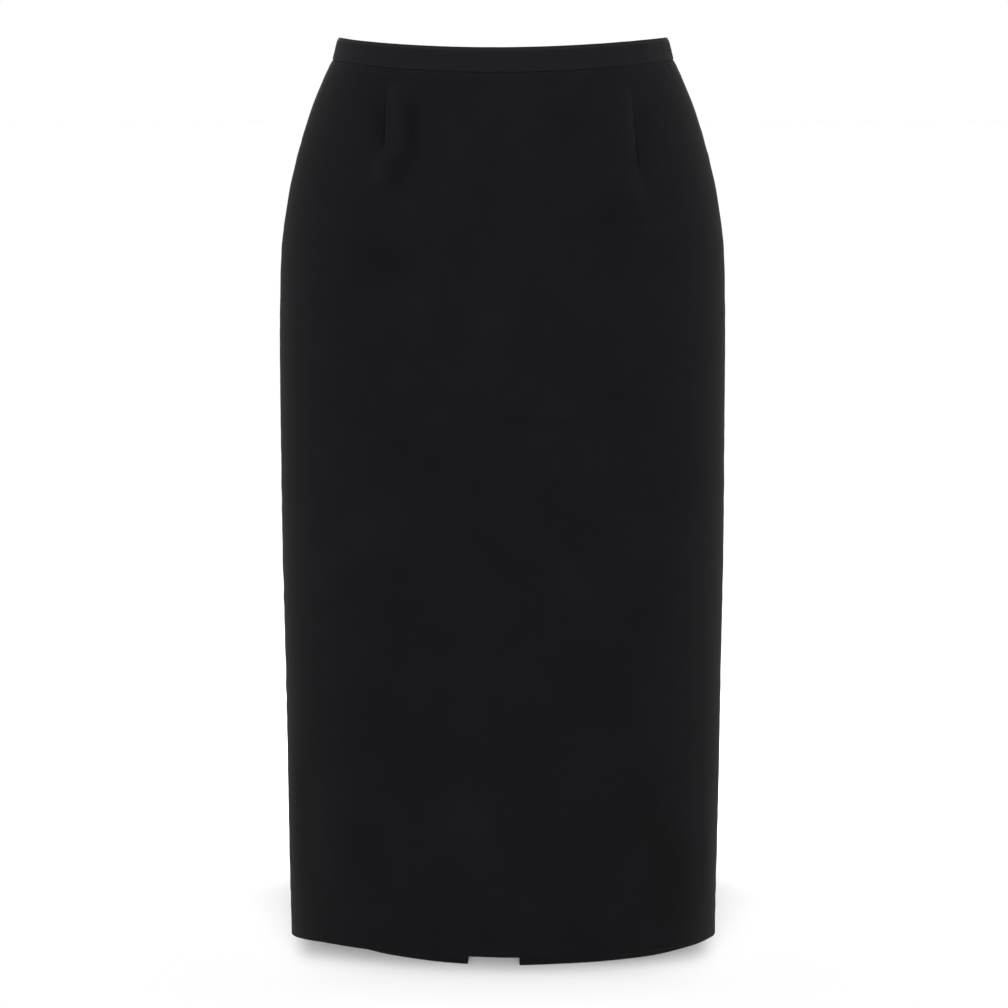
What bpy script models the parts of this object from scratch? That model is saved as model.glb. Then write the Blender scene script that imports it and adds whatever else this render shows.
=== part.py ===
# Midi pencil skirt, filled out as it is worn: a front panel with two darts, two
# back panels that meet at a concealed zip and part in an open slit, and a narrow
# waistband. Metres, +Z up, centre front towards -Y, the wearer's left towards +X.
# The origin is the centre of the waist, level with the waistband's highest points,
# which lie over the side seams.

from collections import namedtuple

import bmesh
import bpy
import numpy as np
from mathutils import Vector

# The body of the skirt at the heights where its shape changes. The half width is
# to the side seams; the depths run from the middle to centre front and back.
Section = namedtuple("Section", "height half_width front_depth back_depth")
SECTIONS = (
    Section(-0.770, 0.1692, 0.1180, 0.1195),
    Section(-0.717, 0.1699, 0.1180, 0.1200),
    Section(-0.550, 0.1732, 0.1180, 0.1225),
    Section(-0.360, 0.1770, 0.1170, 0.1270),
    Section(-0.250, 0.1780, 0.1140, 0.1290),
    Section(-0.175, 0.1767, 0.1095, 0.1250),
    Section(-0.125, 0.1708, 0.1045, 0.1165),
    Section(-0.090, 0.1630, 0.1000, 0.1085),
    Section(-0.055, 0.1523, 0.0950, 0.1000),
    Section(-0.030, 0.1419, 0.0910, 0.0942),
    Section(-0.0185, 0.1360, 0.0892, 0.0918),
    Section(0.000, 0.1312, 0.0870, 0.0895),
)
ROUNDNESS = 2.12  # exponent of the cross-section: 2 is an ellipse, more is squarer

# How far the hem hangs below its highest point, from centre front round the
# wearer's left side (90 degrees), centre back (180) and right side (270).
HEM_HEIGHT = -0.7168
HemDrop = namedtuple("HemDrop", "angle drop")
HEM_DROPS = (
    HemDrop(0, 0.0086),
    HemDrop(30, 0.0078),
    HemDrop(60, 0.0040),
    HemDrop(86, 0.0006),
    HemDrop(100, 0.0062),
    HemDrop(118, 0.0172),
    HemDrop(140, 0.0301),
    HemDrop(160, 0.0369),
    HemDrop(180, 0.0396),
    HemDrop(194, 0.0370),
    HemDrop(210, 0.0302),
    HemDrop(235, 0.0130),
    HemDrop(262, 0.0012),
    HemDrop(300, 0.0014),
    HemDrop(330, 0.0058),
)

FRONT_WAIST_DIP = 0.0078  # waist edge at centre front below the side seams
BACK_WAIST_DIP = 0.0120
WAIST_TILT = 0.0004  # the waist edge sits this much lower to the wearer's right
BAND_HEIGHT_SIDE = 0.0178
BAND_HEIGHT_CENTRE = 0.0201

SEAM_GAP = 0.0003
WAIST_SEAM_GAP = 0.0005
LAYER_GAP = 0.0004  # between layers that lie on each other
CLOTH_WALL = 0.0015
HEM_WALL = 0.0027  # turned up and doubled, along the hem and the slit
BAND_WALL = 0.0026  # folded over its seam allowances
BAND_PROUD = 0.0005
HEM_TURN_UP = 0.035
SLIT_TURN_IN = 0.024
TURNING_STEP = 0.003  # over which the doubled cloth thins out

SIDE_SEAM_ANGLE = 93.0
ZIP_ROW = 7  # the zip runs down to this row of the back panels
SLIT_ROW = 12  # the slit opens below this row
PANEL_ROWS = (0, 0.018, 0.042, 0.072, 0.108, 0.15, 0.20, 0.26, 0.33, 0.41, 0.50, 0.61, 0.72, 0.79, 0.86, 0.92)
SIDE_CELLS = 6  # columns of faces from a side seam to the nearest dart
FRONT_MIDDLE_CELLS = 10  # between the two front darts
BACK_MIDDLE_CELLS = 3  # from a back dart to the slit's turning
BAND_CELLS = 64
BAND_ROWS = (0.0, 0.5, 1.0)
SLIT_HALF_GAP = 0.0213  # at the hem
SLIT_SWING = -0.0078  # the middle of the slit at the hem, off centre back

Dart = namedtuple("Dart", "x_top x_tip tip_height depth")
FRONT_RIGHT_DART = Dart(-0.0912, -0.0944, -0.091, 0.0009)
FRONT_LEFT_DART = Dart(0.0985, 0.1072, -0.108, 0.0009)
BACK_LEFT_DART = Dart(0.0700, 0.0770, -0.128, 0.0009)
BACK_RIGHT_DART = Dart(-0.0700, -0.0760, -0.124, 0.0009)
DART_HALF_WIDTH = 0.0025

# Soft vertical folds: a positive depth is a trough, a negative one a ridge.
Fold = namedtuple("Fold", "angle high low half_width depth")
FOLDS = (
    Fold(-64, -0.520, -0.740, 0.016, 0.0016),
    Fold(-55, -0.540, -0.690, 0.014, -0.0010),
    Fold(50, -0.600, -0.760, 0.020, 0.0012),
    Fold(70, -0.560, -0.700, 0.014, -0.0009),
    Fold(128, -0.500, -0.760, 0.018, 0.0014),
    Fold(226, -0.540, -0.760, 0.020, 0.0014),
    Fold(240, -0.500, -0.720, 0.016, -0.0010),
)

BAND_END_GAP = 0.0016  # between the waistband's ends, where the slider's neck passes
ZIP_TOP_CLEARANCE = 0.0015
TAPE_INNER_EDGE = 0.0014
TAPE_OUTER_EDGE = 0.0120
TAPE_WALL = 0.0008
TAPE_EASE = 0.015  # height below the waistband over which the tapes come out to the panels
COIL_HALF_WIDTH = 0.0021
COIL_WALL = 0.0016
STOP_HEIGHT = 0.0060
STOP_WALL = 0.0022
STOP_HALF_WIDTH = 0.0026

SLIDER_SIZE = Vector((0.0056, 0.0032, 0.0095))
SLIDER_BEVEL = 0.0006
NECK_THICKNESS = 0.0010
NECK_HEIGHT = 0.0040
EYELET_RADIUS = 0.0024
EYELET_HOLE_RADIUS = 0.0013
EYELET_STAND_OFF = 0.0030  # from the waistband's face to the pull tab's axis
EYELET_POINTS = 15
EYELET_HOLE_POINTS = 16

PULL_THICKNESS = 0.0012
PULL_BAR = 0.0007  # half the height of the bar that turns in the eyelet
PULL_WINDOW_DROP = 0.0034
PULL_WINDOW_HALF_WIDTH = 0.00095
PULL_TOP_HALF_WIDTH = 0.0020
PULL_END_RADIUS = 0.0030
PULL_DROP = 0.0205
PULL_REST_GAP = 0.0004
PULL_SIDE_POINTS = 7
PULL_END_POINTS = 13

SHARP_ANGLE = 35.0  # edges that turn by more are shown sharp
BEVEL_ANGLE = 40.0  # edges that turn by more are softened

# Linear colour, roughness and metallic value of each kind of piece.
Looks = namedtuple("Looks", "colour roughness metallic")
CLOTH_LOOKS = Looks((0.0103, 0.0103, 0.0116, 1.0), 0.9, 0.0)
TAPE_LOOKS = Looks((0.0090, 0.0090, 0.0100, 1.0), 0.8, 0.0)
COIL_LOOKS = Looks((0.0090, 0.0090, 0.0100, 1.0), 0.5, 0.0)
METAL_LOOKS = Looks((0.0180, 0.0180, 0.0190, 1.0), 0.35, 0.8)


def smooth_table(rows, values, x):
    """Smooth curve through a table's rows that never overshoots them."""
    rows = np.asarray(rows, dtype=float)
    values = np.asarray(values, dtype=float)
    steps = np.diff(values) / np.diff(rows)
    slopes = np.concatenate((steps[:1], np.zeros(len(rows) - 2), steps[-1:]))
    rising = steps[:-1] * steps[1:] > 0
    total = np.where(rising, steps[:-1] + steps[1:], 1.0)
    slopes[1:-1] = np.where(rising, 2 * steps[:-1] * steps[1:] / total, 0.0)
    cell = np.clip(np.searchsorted(rows, x) - 1, 0, len(rows) - 2)
    width = rows[cell + 1] - rows[cell]
    t = (x - rows[cell]) / width
    return (
        (2 * t**3 - 3 * t**2 + 1) * values[cell]
        + (t**3 - 2 * t**2 + t) * width * slopes[cell]
        + (3 * t**2 - 2 * t**3) * values[cell + 1]
        + (t**3 - t**2) * width * slopes[cell + 1]
    )


def section_size(column, z):
    """One size of the skirt's section at any height."""
    heights = [section.height for section in SECTIONS]
    return smooth_table(heights, [getattr(section, column) for section in SECTIONS], z)


def ring_point(angle, z):
    """Point of the skirt's outer face: a rounded section with its own half width and depths."""
    side = np.sin(angle)
    ahead = np.cos(angle)
    reach = (np.abs(side) ** ROUNDNESS + np.abs(ahead) ** ROUNDNESS) ** (-1 / ROUNDNESS)
    front_depth = section_size("front_depth", z)
    back_depth = section_size("back_depth", z)
    depth = np.where(ahead > 0, front_depth, back_depth)
    x = section_size("half_width", z) * side * reach
    return np.stack((x, -depth * ahead * reach, z + 0 * angle), axis=-1)


def outward(angle, z):
    """Unit normal of the outer face, from its slopes along and across the ring."""
    step = 1e-4
    along = ring_point(angle + step, z) - ring_point(angle - step, z)
    up = ring_point(angle, z + step) - ring_point(angle, z - step)
    normal = np.cross(along, up)
    return normal / np.linalg.norm(normal, axis=-1, keepdims=True)


def fold_inset(angle, z):
    """How far the soft folds sink the cloth: bell-shaped across, fading out at both ends."""
    inset = 0 * angle + 0 * z
    for fold in FOLDS:
        turn = (angle - np.radians(fold.angle) + np.pi) % (2 * np.pi) - np.pi
        across = turn * section_size("back_depth", z) / fold.half_width
        along = np.clip((fold.high - z) / (fold.high - fold.low), 0, 1)
        inset = inset + fold.depth * np.exp(-across**2) * np.sin(np.pi * along) ** 2
    return inset


def cloth_point(angle, z, inset):
    """Point of the folded cloth, moved in from its outer face by the inset."""
    inset = np.asarray(inset + fold_inset(angle, z))
    return ring_point(angle, z) - outward(angle, z) * inset[..., None]


def angle_at(x, z, behind):
    """Ring angle of the point with this x, on the front or the back."""
    across = x / section_size("half_width", z)
    ahead = (1 - np.abs(across) ** ROUNDNESS) ** (1 / ROUNDNESS)
    angle = np.arctan2(across, ahead)
    return np.pi - angle if behind else angle


def waist_edge(angle):
    """Height of the waistband's top edge."""
    dip = np.where(np.cos(angle) > 0, FRONT_WAIST_DIP, BACK_WAIST_DIP)
    return -dip * np.cos(angle) ** 2 + WAIST_TILT * np.sin(2 * angle)


def waist_seam(angle):
    """Height of the seam under the waistband."""
    extra = BAND_HEIGHT_CENTRE - BAND_HEIGHT_SIDE
    return waist_edge(angle) - BAND_HEIGHT_SIDE - extra * np.cos(angle) ** 2


def hem_edge(angle):
    """Height of the hem, from the table of drops taken round the skirt."""
    turns = [row.angle for row in HEM_DROPS]
    drops = [row.drop for row in HEM_DROPS]
    turns = [turns[-1] - 360] + turns + [turns[0] + 360]
    drops = [drops[-1]] + drops + [drops[0]]
    return HEM_HEIGHT - smooth_table(turns, drops, np.degrees(angle) % 360)


def row_height(angle, fraction):
    """Height of a panel's row, given as a fraction of the way from seam to hem."""
    top = waist_seam(angle) - WAIST_SEAM_GAP
    return top + (hem_edge(angle) - top) * fraction


def panel_rows():
    """Fractions of all rows, with two at the top of the hem's turning."""
    length = row_height(0.0, 0) - row_height(0.0, 1)
    turning = 1 - HEM_TURN_UP / length
    return PANEL_ROWS + (turning - TURNING_STEP / length, turning, 1.0)


def seam_angle(z, side):
    """Angle of a panel's edge beside the side seam, half a gap from the seam line."""
    seam = np.radians(SIDE_SEAM_ANGLE)
    return seam + side * SEAM_GAP / 2 / section_size("back_depth", z)


def centre_back(fraction, side):
    """x of a back panel's inner edge: closed down to the slit, then swinging open."""
    start = PANEL_ROWS[SLIT_ROW]
    opened = max(fraction - start, 0) / (1 - start)
    swing = SLIT_SWING * opened**2
    return swing + side * (SEAM_GAP / 2 + (SLIT_HALF_GAP - SEAM_GAP / 2) * opened)


def dart_x(dart, z):
    """x of the dart's seam line, which runs straight down below its tip."""
    top = waist_seam(0.0)
    t = np.clip((top - z) / (top - dart.tip_height), 0, 1)
    return dart.x_top + (dart.x_tip - dart.x_top) * t


def dart_inset(dart, z):
    """Depth of the dart's crease, nothing at its tip."""
    top = waist_seam(0.0)
    t = np.clip((top - z) / (top - dart.tip_height), 0, 1)
    return dart.depth * np.sqrt(1 - t)


def split(stops):
    """Angles between stops, each given with the number of cells up to the next one."""
    parts = []
    for (start, cells), (end, _) in zip(stops[:-1], stops[1:]):
        parts.append(np.linspace(start, end, cells, endpoint=False))
    return np.concatenate(parts + [[stops[-1][0]]])


def dart_stops(dart, z, behind, cells_after):
    """Three columns on a dart's line: its two sides and its crease."""
    x = dart_x(dart, z)
    crease = angle_at(x, z, behind)
    half = DART_HALF_WIDTH / section_size("half_width", z)
    return [(crease - half, 1), (crease, 1), (crease + half, cells_after)]


def front_columns(fraction):
    """Column angles of the front panel on one row, and the inset of each dart's crease."""
    z = row_height(0.0, fraction)
    edge = seam_angle(z, -1)
    stops = [(-edge, SIDE_CELLS)]
    stops += dart_stops(FRONT_RIGHT_DART, z, False, FRONT_MIDDLE_CELLS)
    stops += dart_stops(FRONT_LEFT_DART, z, False, SIDE_CELLS)
    angles = split(stops + [(edge, 0)])
    crease = np.zeros(len(angles))
    crease[SIDE_CELLS + 1] = dart_inset(FRONT_RIGHT_DART, z)
    crease[SIDE_CELLS + FRONT_MIDDLE_CELLS + 3] = dart_inset(FRONT_LEFT_DART, z)
    return angles, crease


def back_columns(fraction, side):
    """Column angles of a back panel on one row, its dart's insets and its slit's turning."""
    z = row_height(np.pi, fraction)
    dart = BACK_LEFT_DART if side > 0 else BACK_RIGHT_DART
    edge = centre_back(fraction, side)
    widths = (SLIT_TURN_IN + TURNING_STEP, SLIT_TURN_IN, TAPE_OUTER_EDGE, 0)
    inner = [(angle_at(edge + side * width, z, True), 1) for width in widths]
    seam = seam_angle(z, 1)
    if side > 0:
        stops = [(seam, SIDE_CELLS)] + dart_stops(dart, z, True, BACK_MIDDLE_CELLS) + inner
        dart_column = SIDE_CELLS + 1
    else:
        stops = inner[::-1][:-1] + [(inner[0][0], BACK_MIDDLE_CELLS)]
        stops += dart_stops(dart, z, True, SIDE_CELLS) + [(2 * np.pi - seam, 0)]
        dart_column = len(inner) + BACK_MIDDLE_CELLS
    angles = split(stops)
    crease = np.zeros(len(angles))
    crease[dart_column] = dart_inset(dart, z)
    turning = np.zeros(len(angles), dtype=bool)
    if fraction >= PANEL_ROWS[SLIT_ROW]:
        turning[-3 if side > 0 else 0:None if side > 0 else 3] = True
    return angles, crease, turning


def finish(name, looks):
    """Material of one piece."""
    material = bpy.data.materials.new(name)
    material.use_nodes = True
    shader = material.node_tree.nodes["Principled BSDF"]
    shader.inputs["Base Color"].default_value = looks.colour
    shader.inputs["Roughness"].default_value = looks.roughness
    shader.inputs["Metallic"].default_value = looks.metallic
    material.diffuse_color = looks.colour
    return material


def add_object(name, mesh, parent, looks):
    """Object with its own material, smooth but for its sharp edges."""
    mesh.shade_smooth()
    mesh.set_sharp_from_angle(angle=np.radians(SHARP_ANGLE))
    mesh.materials.append(finish(name + "_finish", looks))
    piece = bpy.data.objects.new(name, mesh)
    bpy.context.scene.collection.objects.link(piece)
    piece.parent = parent
    return piece


def wall_between(name, outer, inner, parent, looks=CLOTH_LOOKS):
    """Closed wall between two grids of points, whose rows run down and columns round the skirt."""
    rows, columns = outer.shape[:2]
    count = rows * columns
    points = np.concatenate((outer.reshape(-1, 3), inner.reshape(-1, 3)))
    index = np.arange(count).reshape(rows, columns)
    faces = []
    for row in range(rows - 1):
        for column in range(columns - 1):
            corners = index[row:row + 2, column:column + 2]
            face = (corners[0, 0], corners[1, 0], corners[1, 1], corners[0, 1])
            faces.append(face)
            faces.append(tuple(corner + count for corner in face[::-1]))
    rim = np.concatenate((index[0], index[1:, -1], index[-1, -2::-1], index[-2:0:-1, 0]))
    for start, end in zip(rim, np.roll(rim, -1)):
        faces.append((start, end, end + count, start + count))
    mesh = bpy.data.meshes.new(name)
    mesh.from_pydata(points.tolist(), [], [[int(corner) for corner in face] for face in faces])
    return add_object(name, mesh, parent, looks)


def front_panel(parent):
    """The front, cut in one piece."""
    outer = []
    inner = []
    for fraction in panel_rows():
        angles, crease = front_columns(fraction)
        z = row_height(angles, fraction)
        wall = HEM_WALL if fraction >= panel_rows()[-2] else CLOTH_WALL
        outer.append(cloth_point(angles, z, crease))
        inner.append(cloth_point(angles, z, crease + wall))
    return wall_between("front_panel", np.array(outer), np.array(inner), parent)


def back_grid(side, inset_of):
    """Grid of a back panel's points, moved in by what inset_of gives for each row."""
    grid = []
    for fraction in panel_rows():
        angles, crease, turning = back_columns(fraction, side)
        z = row_height(angles, fraction)
        grid.append(cloth_point(angles, z, crease + inset_of(fraction, turning)))
    return np.array(grid)


def back_panel(name, side, parent):
    """One half of the back, with its hem and slit edge turned in."""

    def wall(fraction, turning):
        doubled = turning | (fraction >= panel_rows()[-2])
        return np.where(doubled, HEM_WALL, CLOTH_WALL)

    outer = back_grid(side, lambda fraction, turning: 0.0)
    return wall_between(name, outer, back_grid(side, wall), parent)


def waistband(parent):
    """A folded strip from one side of the zip round to the other."""
    outer = []
    inner = []
    for fraction in BAND_ROWS:
        z_back = waist_edge(np.pi) + (waist_seam(np.pi) - waist_edge(np.pi)) * fraction
        end = angle_at(BAND_END_GAP / 2, z_back, True)
        angles = np.linspace(-end, end, BAND_CELLS + 1)
        z = waist_edge(angles) + (waist_seam(angles) - waist_edge(angles)) * fraction
        outer.append(cloth_point(angles, z, -BAND_PROUD))
        inner.append(cloth_point(angles, z, BAND_WALL - BAND_PROUD))
    return wall_between("waistband", np.array(outer), np.array(inner), parent)


def zip_rows():
    """Heights down centre back behind which the zip lies: the waistband's, then the panels'."""
    top = waist_edge(np.pi) - ZIP_TOP_CLEARANCE
    seam = waist_seam(np.pi)
    band = [top, (top + seam) / 2, seam]
    return band + [row_height(np.pi, fraction) for fraction in PANEL_ROWS[1:ZIP_ROW + 1]]


def tape_inset(z):
    """Depth of the tape's outer face: behind the waistband, easing out to lie on the panels."""
    band = BAND_WALL - BAND_PROUD + LAYER_GAP
    panel = CLOTH_WALL + LAYER_GAP
    ease = np.clip((waist_seam(np.pi) - z) / TAPE_EASE, 0, 1)
    return band + (panel - band) * ease


def strip_behind(name, x_edges, heights, inset, wall, parent, looks):
    """Strip of a given wall behind centre back, between two x edges and along the heights."""
    xs = np.array(sorted(x_edges, reverse=True))
    outer = []
    inner = []
    for height in heights:
        z = height + 0 * xs
        angles = angle_at(xs, z, True)
        depth = inset + tape_inset(z)
        outer.append(cloth_point(angles, z, depth))
        inner.append(cloth_point(angles, z, depth + wall))
    return wall_between(name, np.array(outer), np.array(inner), parent, looks)


def zip_strips(parent):
    """Two tapes, the closed coil on their inner side, and the stop below it."""
    heights = zip_rows()
    end = heights[-1]
    for name, side in (("zip_tape_left", 1), ("zip_tape_right", -1)):
        edges = (side * TAPE_INNER_EDGE, side * TAPE_OUTER_EDGE)
        strip_behind(name, edges, heights, 0, TAPE_WALL, parent, TAPE_LOOKS)
    behind_tapes = TAPE_WALL + LAYER_GAP
    coil_top = slider_centre().z - SLIDER_SIZE.z / 2 - SEAM_GAP
    coil_end = end + STOP_HEIGHT
    coil_heights = [coil_top] + [z for z in heights if coil_end < z < coil_top] + [coil_end]
    edges = (-COIL_HALF_WIDTH, COIL_HALF_WIDTH)
    strip_behind("zip_coil", edges, coil_heights, behind_tapes, COIL_WALL, parent, COIL_LOOKS)
    edges = (-STOP_HALF_WIDTH, STOP_HALF_WIDTH)
    stop_heights = [coil_end - SEAM_GAP, end]
    strip_behind("zip_stop", edges, stop_heights, behind_tapes, STOP_WALL, parent, METAL_LOOKS)


def back_face(z):
    """y of the waistband's outer face at centre back."""
    return float(ring_point(np.pi, z)[1]) + BAND_PROUD


def slider_centre():
    """Middle of the slider's body, inside the tapes at the top of the waistband."""
    z = float(zip_rows()[0]) - SLIDER_SIZE.z / 2
    inset = BAND_WALL + LAYER_GAP + TAPE_WALL + LAYER_GAP
    return Vector((0, back_face(z + SLIDER_SIZE.z / 2) - inset - SLIDER_SIZE.y / 2, z))


def pull_axis():
    """Centre of the eyelet that the pull tab turns in."""
    z = slider_centre().z
    return Vector((0, back_face(z) + EYELET_STAND_OFF, z))


def extruded(name, outline, thickness):
    """Flat plate from an outline in its own plane, both ways from the middle."""
    form = bmesh.new()
    corners = [form.verts.new((u, -thickness / 2, w)) for u, w in outline]
    face = form.faces.new(corners)
    grown = bmesh.ops.extrude_face_region(form, geom=[face])
    moved = [item for item in grown["geom"] if isinstance(item, bmesh.types.BMVert)]
    bmesh.ops.translate(form, verts=moved, vec=(0, thickness, 0))
    bmesh.ops.recalc_face_normals(form, faces=form.faces)
    mesh = bpy.data.meshes.new(name)
    form.to_mesh(mesh)
    form.free()
    return mesh


def guide(name, mesh, parent):
    """Shape that only takes part in a Boolean."""
    shape = bpy.data.objects.new(name, mesh)
    bpy.context.scene.collection.objects.link(shape)
    shape.hide_render = True
    shape.display_type = "WIRE"
    shape.parent = parent
    return shape


def combine(piece, other, operation):
    """Boolean of a piece with a guide."""
    step = piece.modifiers.new(other.name, "BOOLEAN")
    step.operation = operation
    step.object = other
    return step


def bevel(piece, width):
    """Softened edges."""
    step = piece.modifiers.new("soft_edges", "BEVEL")
    step.width = width
    step.segments = 1
    step.limit_method = "ANGLE"
    step.angle_limit = np.radians(BEVEL_ANGLE)
    return step


def cuboid(name, size):
    """Box of a given size about its own middle."""
    form = bmesh.new()
    bmesh.ops.create_cube(form, size=1)
    bmesh.ops.scale(form, verts=form.verts, vec=size)
    mesh = bpy.data.meshes.new(name)
    form.to_mesh(mesh)
    form.free()
    return mesh


def circle(radius, steps, start=0.0, sweep=2 * np.pi):
    """Points on an arc, with both ends where it isn't a whole circle."""
    whole = np.isclose(sweep, 2 * np.pi)
    turns = start + np.linspace(0, sweep, steps, endpoint=not whole)
    return [(radius * np.cos(turn), radius * np.sin(turn)) for turn in turns]


def zip_slider(parent):
    """Slider body behind the tapes, with a neck out to the eyelet that carries the pull tab."""
    centre = slider_centre()
    reach = pull_axis() - centre
    slider = add_object("zip_slider", cuboid("zip_slider", SLIDER_SIZE), parent, METAL_LOOKS)
    slider.location = centre
    bevel(slider, SLIDER_BEVEL)
    lean = np.arcsin(NECK_HEIGHT / 2 / EYELET_RADIUS)
    outline = [(-reach.y, NECK_HEIGHT / 2), (-reach.y, -NECK_HEIGHT / 2)]
    outline += circle(EYELET_RADIUS, EYELET_POINTS, lean - np.pi, 2 * np.pi - 2 * lean)
    neck = guide("slider_neck", extruded("slider_neck", outline, NECK_THICKNESS), slider)
    neck.location = reach
    neck.rotation_euler = (0, 0, np.pi / 2)
    hole_outline = circle(EYELET_HOLE_RADIUS, EYELET_HOLE_POINTS)
    hole = guide("slider_eyelet", extruded("slider_eyelet", hole_outline, 3 * NECK_THICKNESS), slider)
    hole.location = reach
    hole.rotation_euler = (0, 0, np.pi / 2)
    combine(slider, neck, "UNION")
    combine(slider, hole, "DIFFERENCE")
    return slider


def pull_outline():
    """Teardrop, narrow at the eyelet and round at its end."""
    steps = np.linspace(0, 1, PULL_SIDE_POINTS)
    ease = steps**2 * (3 - 2 * steps)
    drop = -PULL_WINDOW_DROP - (PULL_DROP - PULL_END_RADIUS - PULL_WINDOW_DROP) * steps
    width = PULL_TOP_HALF_WIDTH + (PULL_END_RADIUS - PULL_TOP_HALF_WIDTH) * ease
    right = [(PULL_TOP_HALF_WIDTH, PULL_BAR)] + list(zip(width, drop))
    arc = circle(PULL_END_RADIUS, PULL_END_POINTS, 0.0, -np.pi)
    end = [(u, w + PULL_END_RADIUS - PULL_DROP) for u, w in arc][1:-1]
    left = [(-u, w) for u, w in reversed(right)]
    return right + end + left


def zip_pull(slider):
    """Pull tab, hung by its top bar and lying back against the cloth."""
    axis = pull_axis()
    tip_height = axis.z - PULL_DROP
    cloth = float(ring_point(np.pi, tip_height)[1])
    lean = np.arctan((cloth + PULL_REST_GAP + PULL_THICKNESS / 2 - axis.y) / PULL_DROP)
    mesh = extruded("zip_pull", pull_outline(), PULL_THICKNESS)
    pull = add_object("zip_pull", mesh, slider, METAL_LOOKS)
    pull.location = axis - slider.location
    pull.rotation_euler = (lean, 0, 0)
    size = Vector((2 * PULL_WINDOW_HALF_WIDTH, 3 * PULL_THICKNESS, PULL_WINDOW_DROP - PULL_BAR))
    window = guide("pull_window", cuboid("pull_window", size), pull)
    window.location = (0, 0, -(PULL_WINDOW_DROP + PULL_BAR) / 2)
    combine(pull, window, "DIFFERENCE")
    return pull


def build():
    for thing in list(bpy.data.objects):
        bpy.data.objects.remove(thing, do_unlink=True)
    waist = bpy.data.objects.new("waist", None)
    bpy.context.scene.collection.objects.link(waist)
    front_panel(waist)
    back_panel("back_panel_left", 1, waist)
    back_panel("back_panel_right", -1, waist)
    waistband(waist)
    zip_strips(waist)
    zip_pull(zip_slider(waist))


build()
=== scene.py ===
import bmesh
import bpy
import numpy as np
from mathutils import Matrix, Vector


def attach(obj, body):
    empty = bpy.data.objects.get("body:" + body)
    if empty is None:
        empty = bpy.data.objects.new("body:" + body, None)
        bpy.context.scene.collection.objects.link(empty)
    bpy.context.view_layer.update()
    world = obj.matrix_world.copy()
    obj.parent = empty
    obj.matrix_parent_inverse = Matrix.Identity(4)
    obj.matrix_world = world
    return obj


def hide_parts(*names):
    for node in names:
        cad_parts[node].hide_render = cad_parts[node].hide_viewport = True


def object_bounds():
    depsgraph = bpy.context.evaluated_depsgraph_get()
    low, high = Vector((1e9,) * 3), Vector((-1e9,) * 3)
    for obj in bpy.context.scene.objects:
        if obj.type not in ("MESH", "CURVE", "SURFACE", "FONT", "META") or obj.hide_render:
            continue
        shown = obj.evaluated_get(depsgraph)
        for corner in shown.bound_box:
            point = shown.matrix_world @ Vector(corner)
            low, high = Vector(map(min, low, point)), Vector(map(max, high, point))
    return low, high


# A straight midi skirt, filled out as it is worn. Metres, +Z up, centre front towards -Y,
# the wearer's left towards +X, the origin at the middle of the waist.
# Every cloth face is the same base form, moved in along its own normal by an inset.

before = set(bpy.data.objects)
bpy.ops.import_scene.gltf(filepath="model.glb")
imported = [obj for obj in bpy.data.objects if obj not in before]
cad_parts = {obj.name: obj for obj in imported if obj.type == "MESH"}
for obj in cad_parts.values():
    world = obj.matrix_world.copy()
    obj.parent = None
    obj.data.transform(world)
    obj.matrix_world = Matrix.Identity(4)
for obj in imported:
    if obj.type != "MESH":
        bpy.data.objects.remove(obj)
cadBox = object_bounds()
print("frame loaded:", len(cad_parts), "pieces")

mm = 0.001


def table(columns, *rows):
    # a short table as one array for each named column
    return dict(zip(columns.split(), np.array(rows, dtype=float).T))


def joined(*parts):
    # coordinates of any shapes that fit together, as the last axis of one array
    return np.stack(np.broadcast_arrays(*parts), axis=-1)


form = {
    "roundness": 2.12,  # exponent of the cross-section: 2 is an ellipse, more is squarer
    "sections": table(
        "height halfWidth frontDepth backDepth",
        (-0.770, 0.1692, 0.1180, 0.1195),
        (-0.717, 0.1699, 0.1180, 0.1200),
        (-0.550, 0.1732, 0.1180, 0.1225),
        (-0.360, 0.1770, 0.1170, 0.1270),
        (-0.250, 0.1780, 0.1140, 0.1290),
        (-0.175, 0.1767, 0.1095, 0.1250),
        (-0.125, 0.1708, 0.1045, 0.1165),
        (-0.090, 0.1630, 0.1000, 0.1085),
        (-0.055, 0.1523, 0.0950, 0.1000),
        (-0.030, 0.1419, 0.0910, 0.0942),
        (-0.0185, 0.1360, 0.0892, 0.0918),
        (0.000, 0.1312, 0.0870, 0.0895),
    ),
    "hemHeight": -0.7168,
    # drop of the hem below that, from centre front (0) round the wearer's left side
    "hemDrops": table(
        "angle drop",
        (0, 0.0086), (30, 0.0078), (60, 0.0040), (86, 0.0006), (100, 0.0062),
        (118, 0.0172), (140, 0.0301), (160, 0.0369), (180, 0.0396), (194, 0.0370),
        (210, 0.0302), (235, 0.0130), (262, 0.0012), (300, 0.0014), (330, 0.0058),
    ),
    "frontWaistDip": 0.0078,
    "backWaistDip": 0.0120,
    "waistTilt": 0.0004,
    "bandHeightSide": 0.0178,
    "bandHeightCentre": 0.0201,
    "sideSeamAngle": 93.0,
    "slitStart": 0.72,  # share of the way from waist seam to hem
    "slitHalfGap": 0.0213,  # at the hem
    "slitSwing": -0.0078,  # the middle of the slit at the hem, off centre back
    "zipEnd": 0.26,
}
sideSeam = np.radians(form["sideSeamAngle"])


def smooth(t):
    # eases from 0 to 1: t squared times (3 - 2 t), held at both ends
    t = np.clip(t, 0, 1)
    return t * t * (3 - 2 * t)


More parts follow.
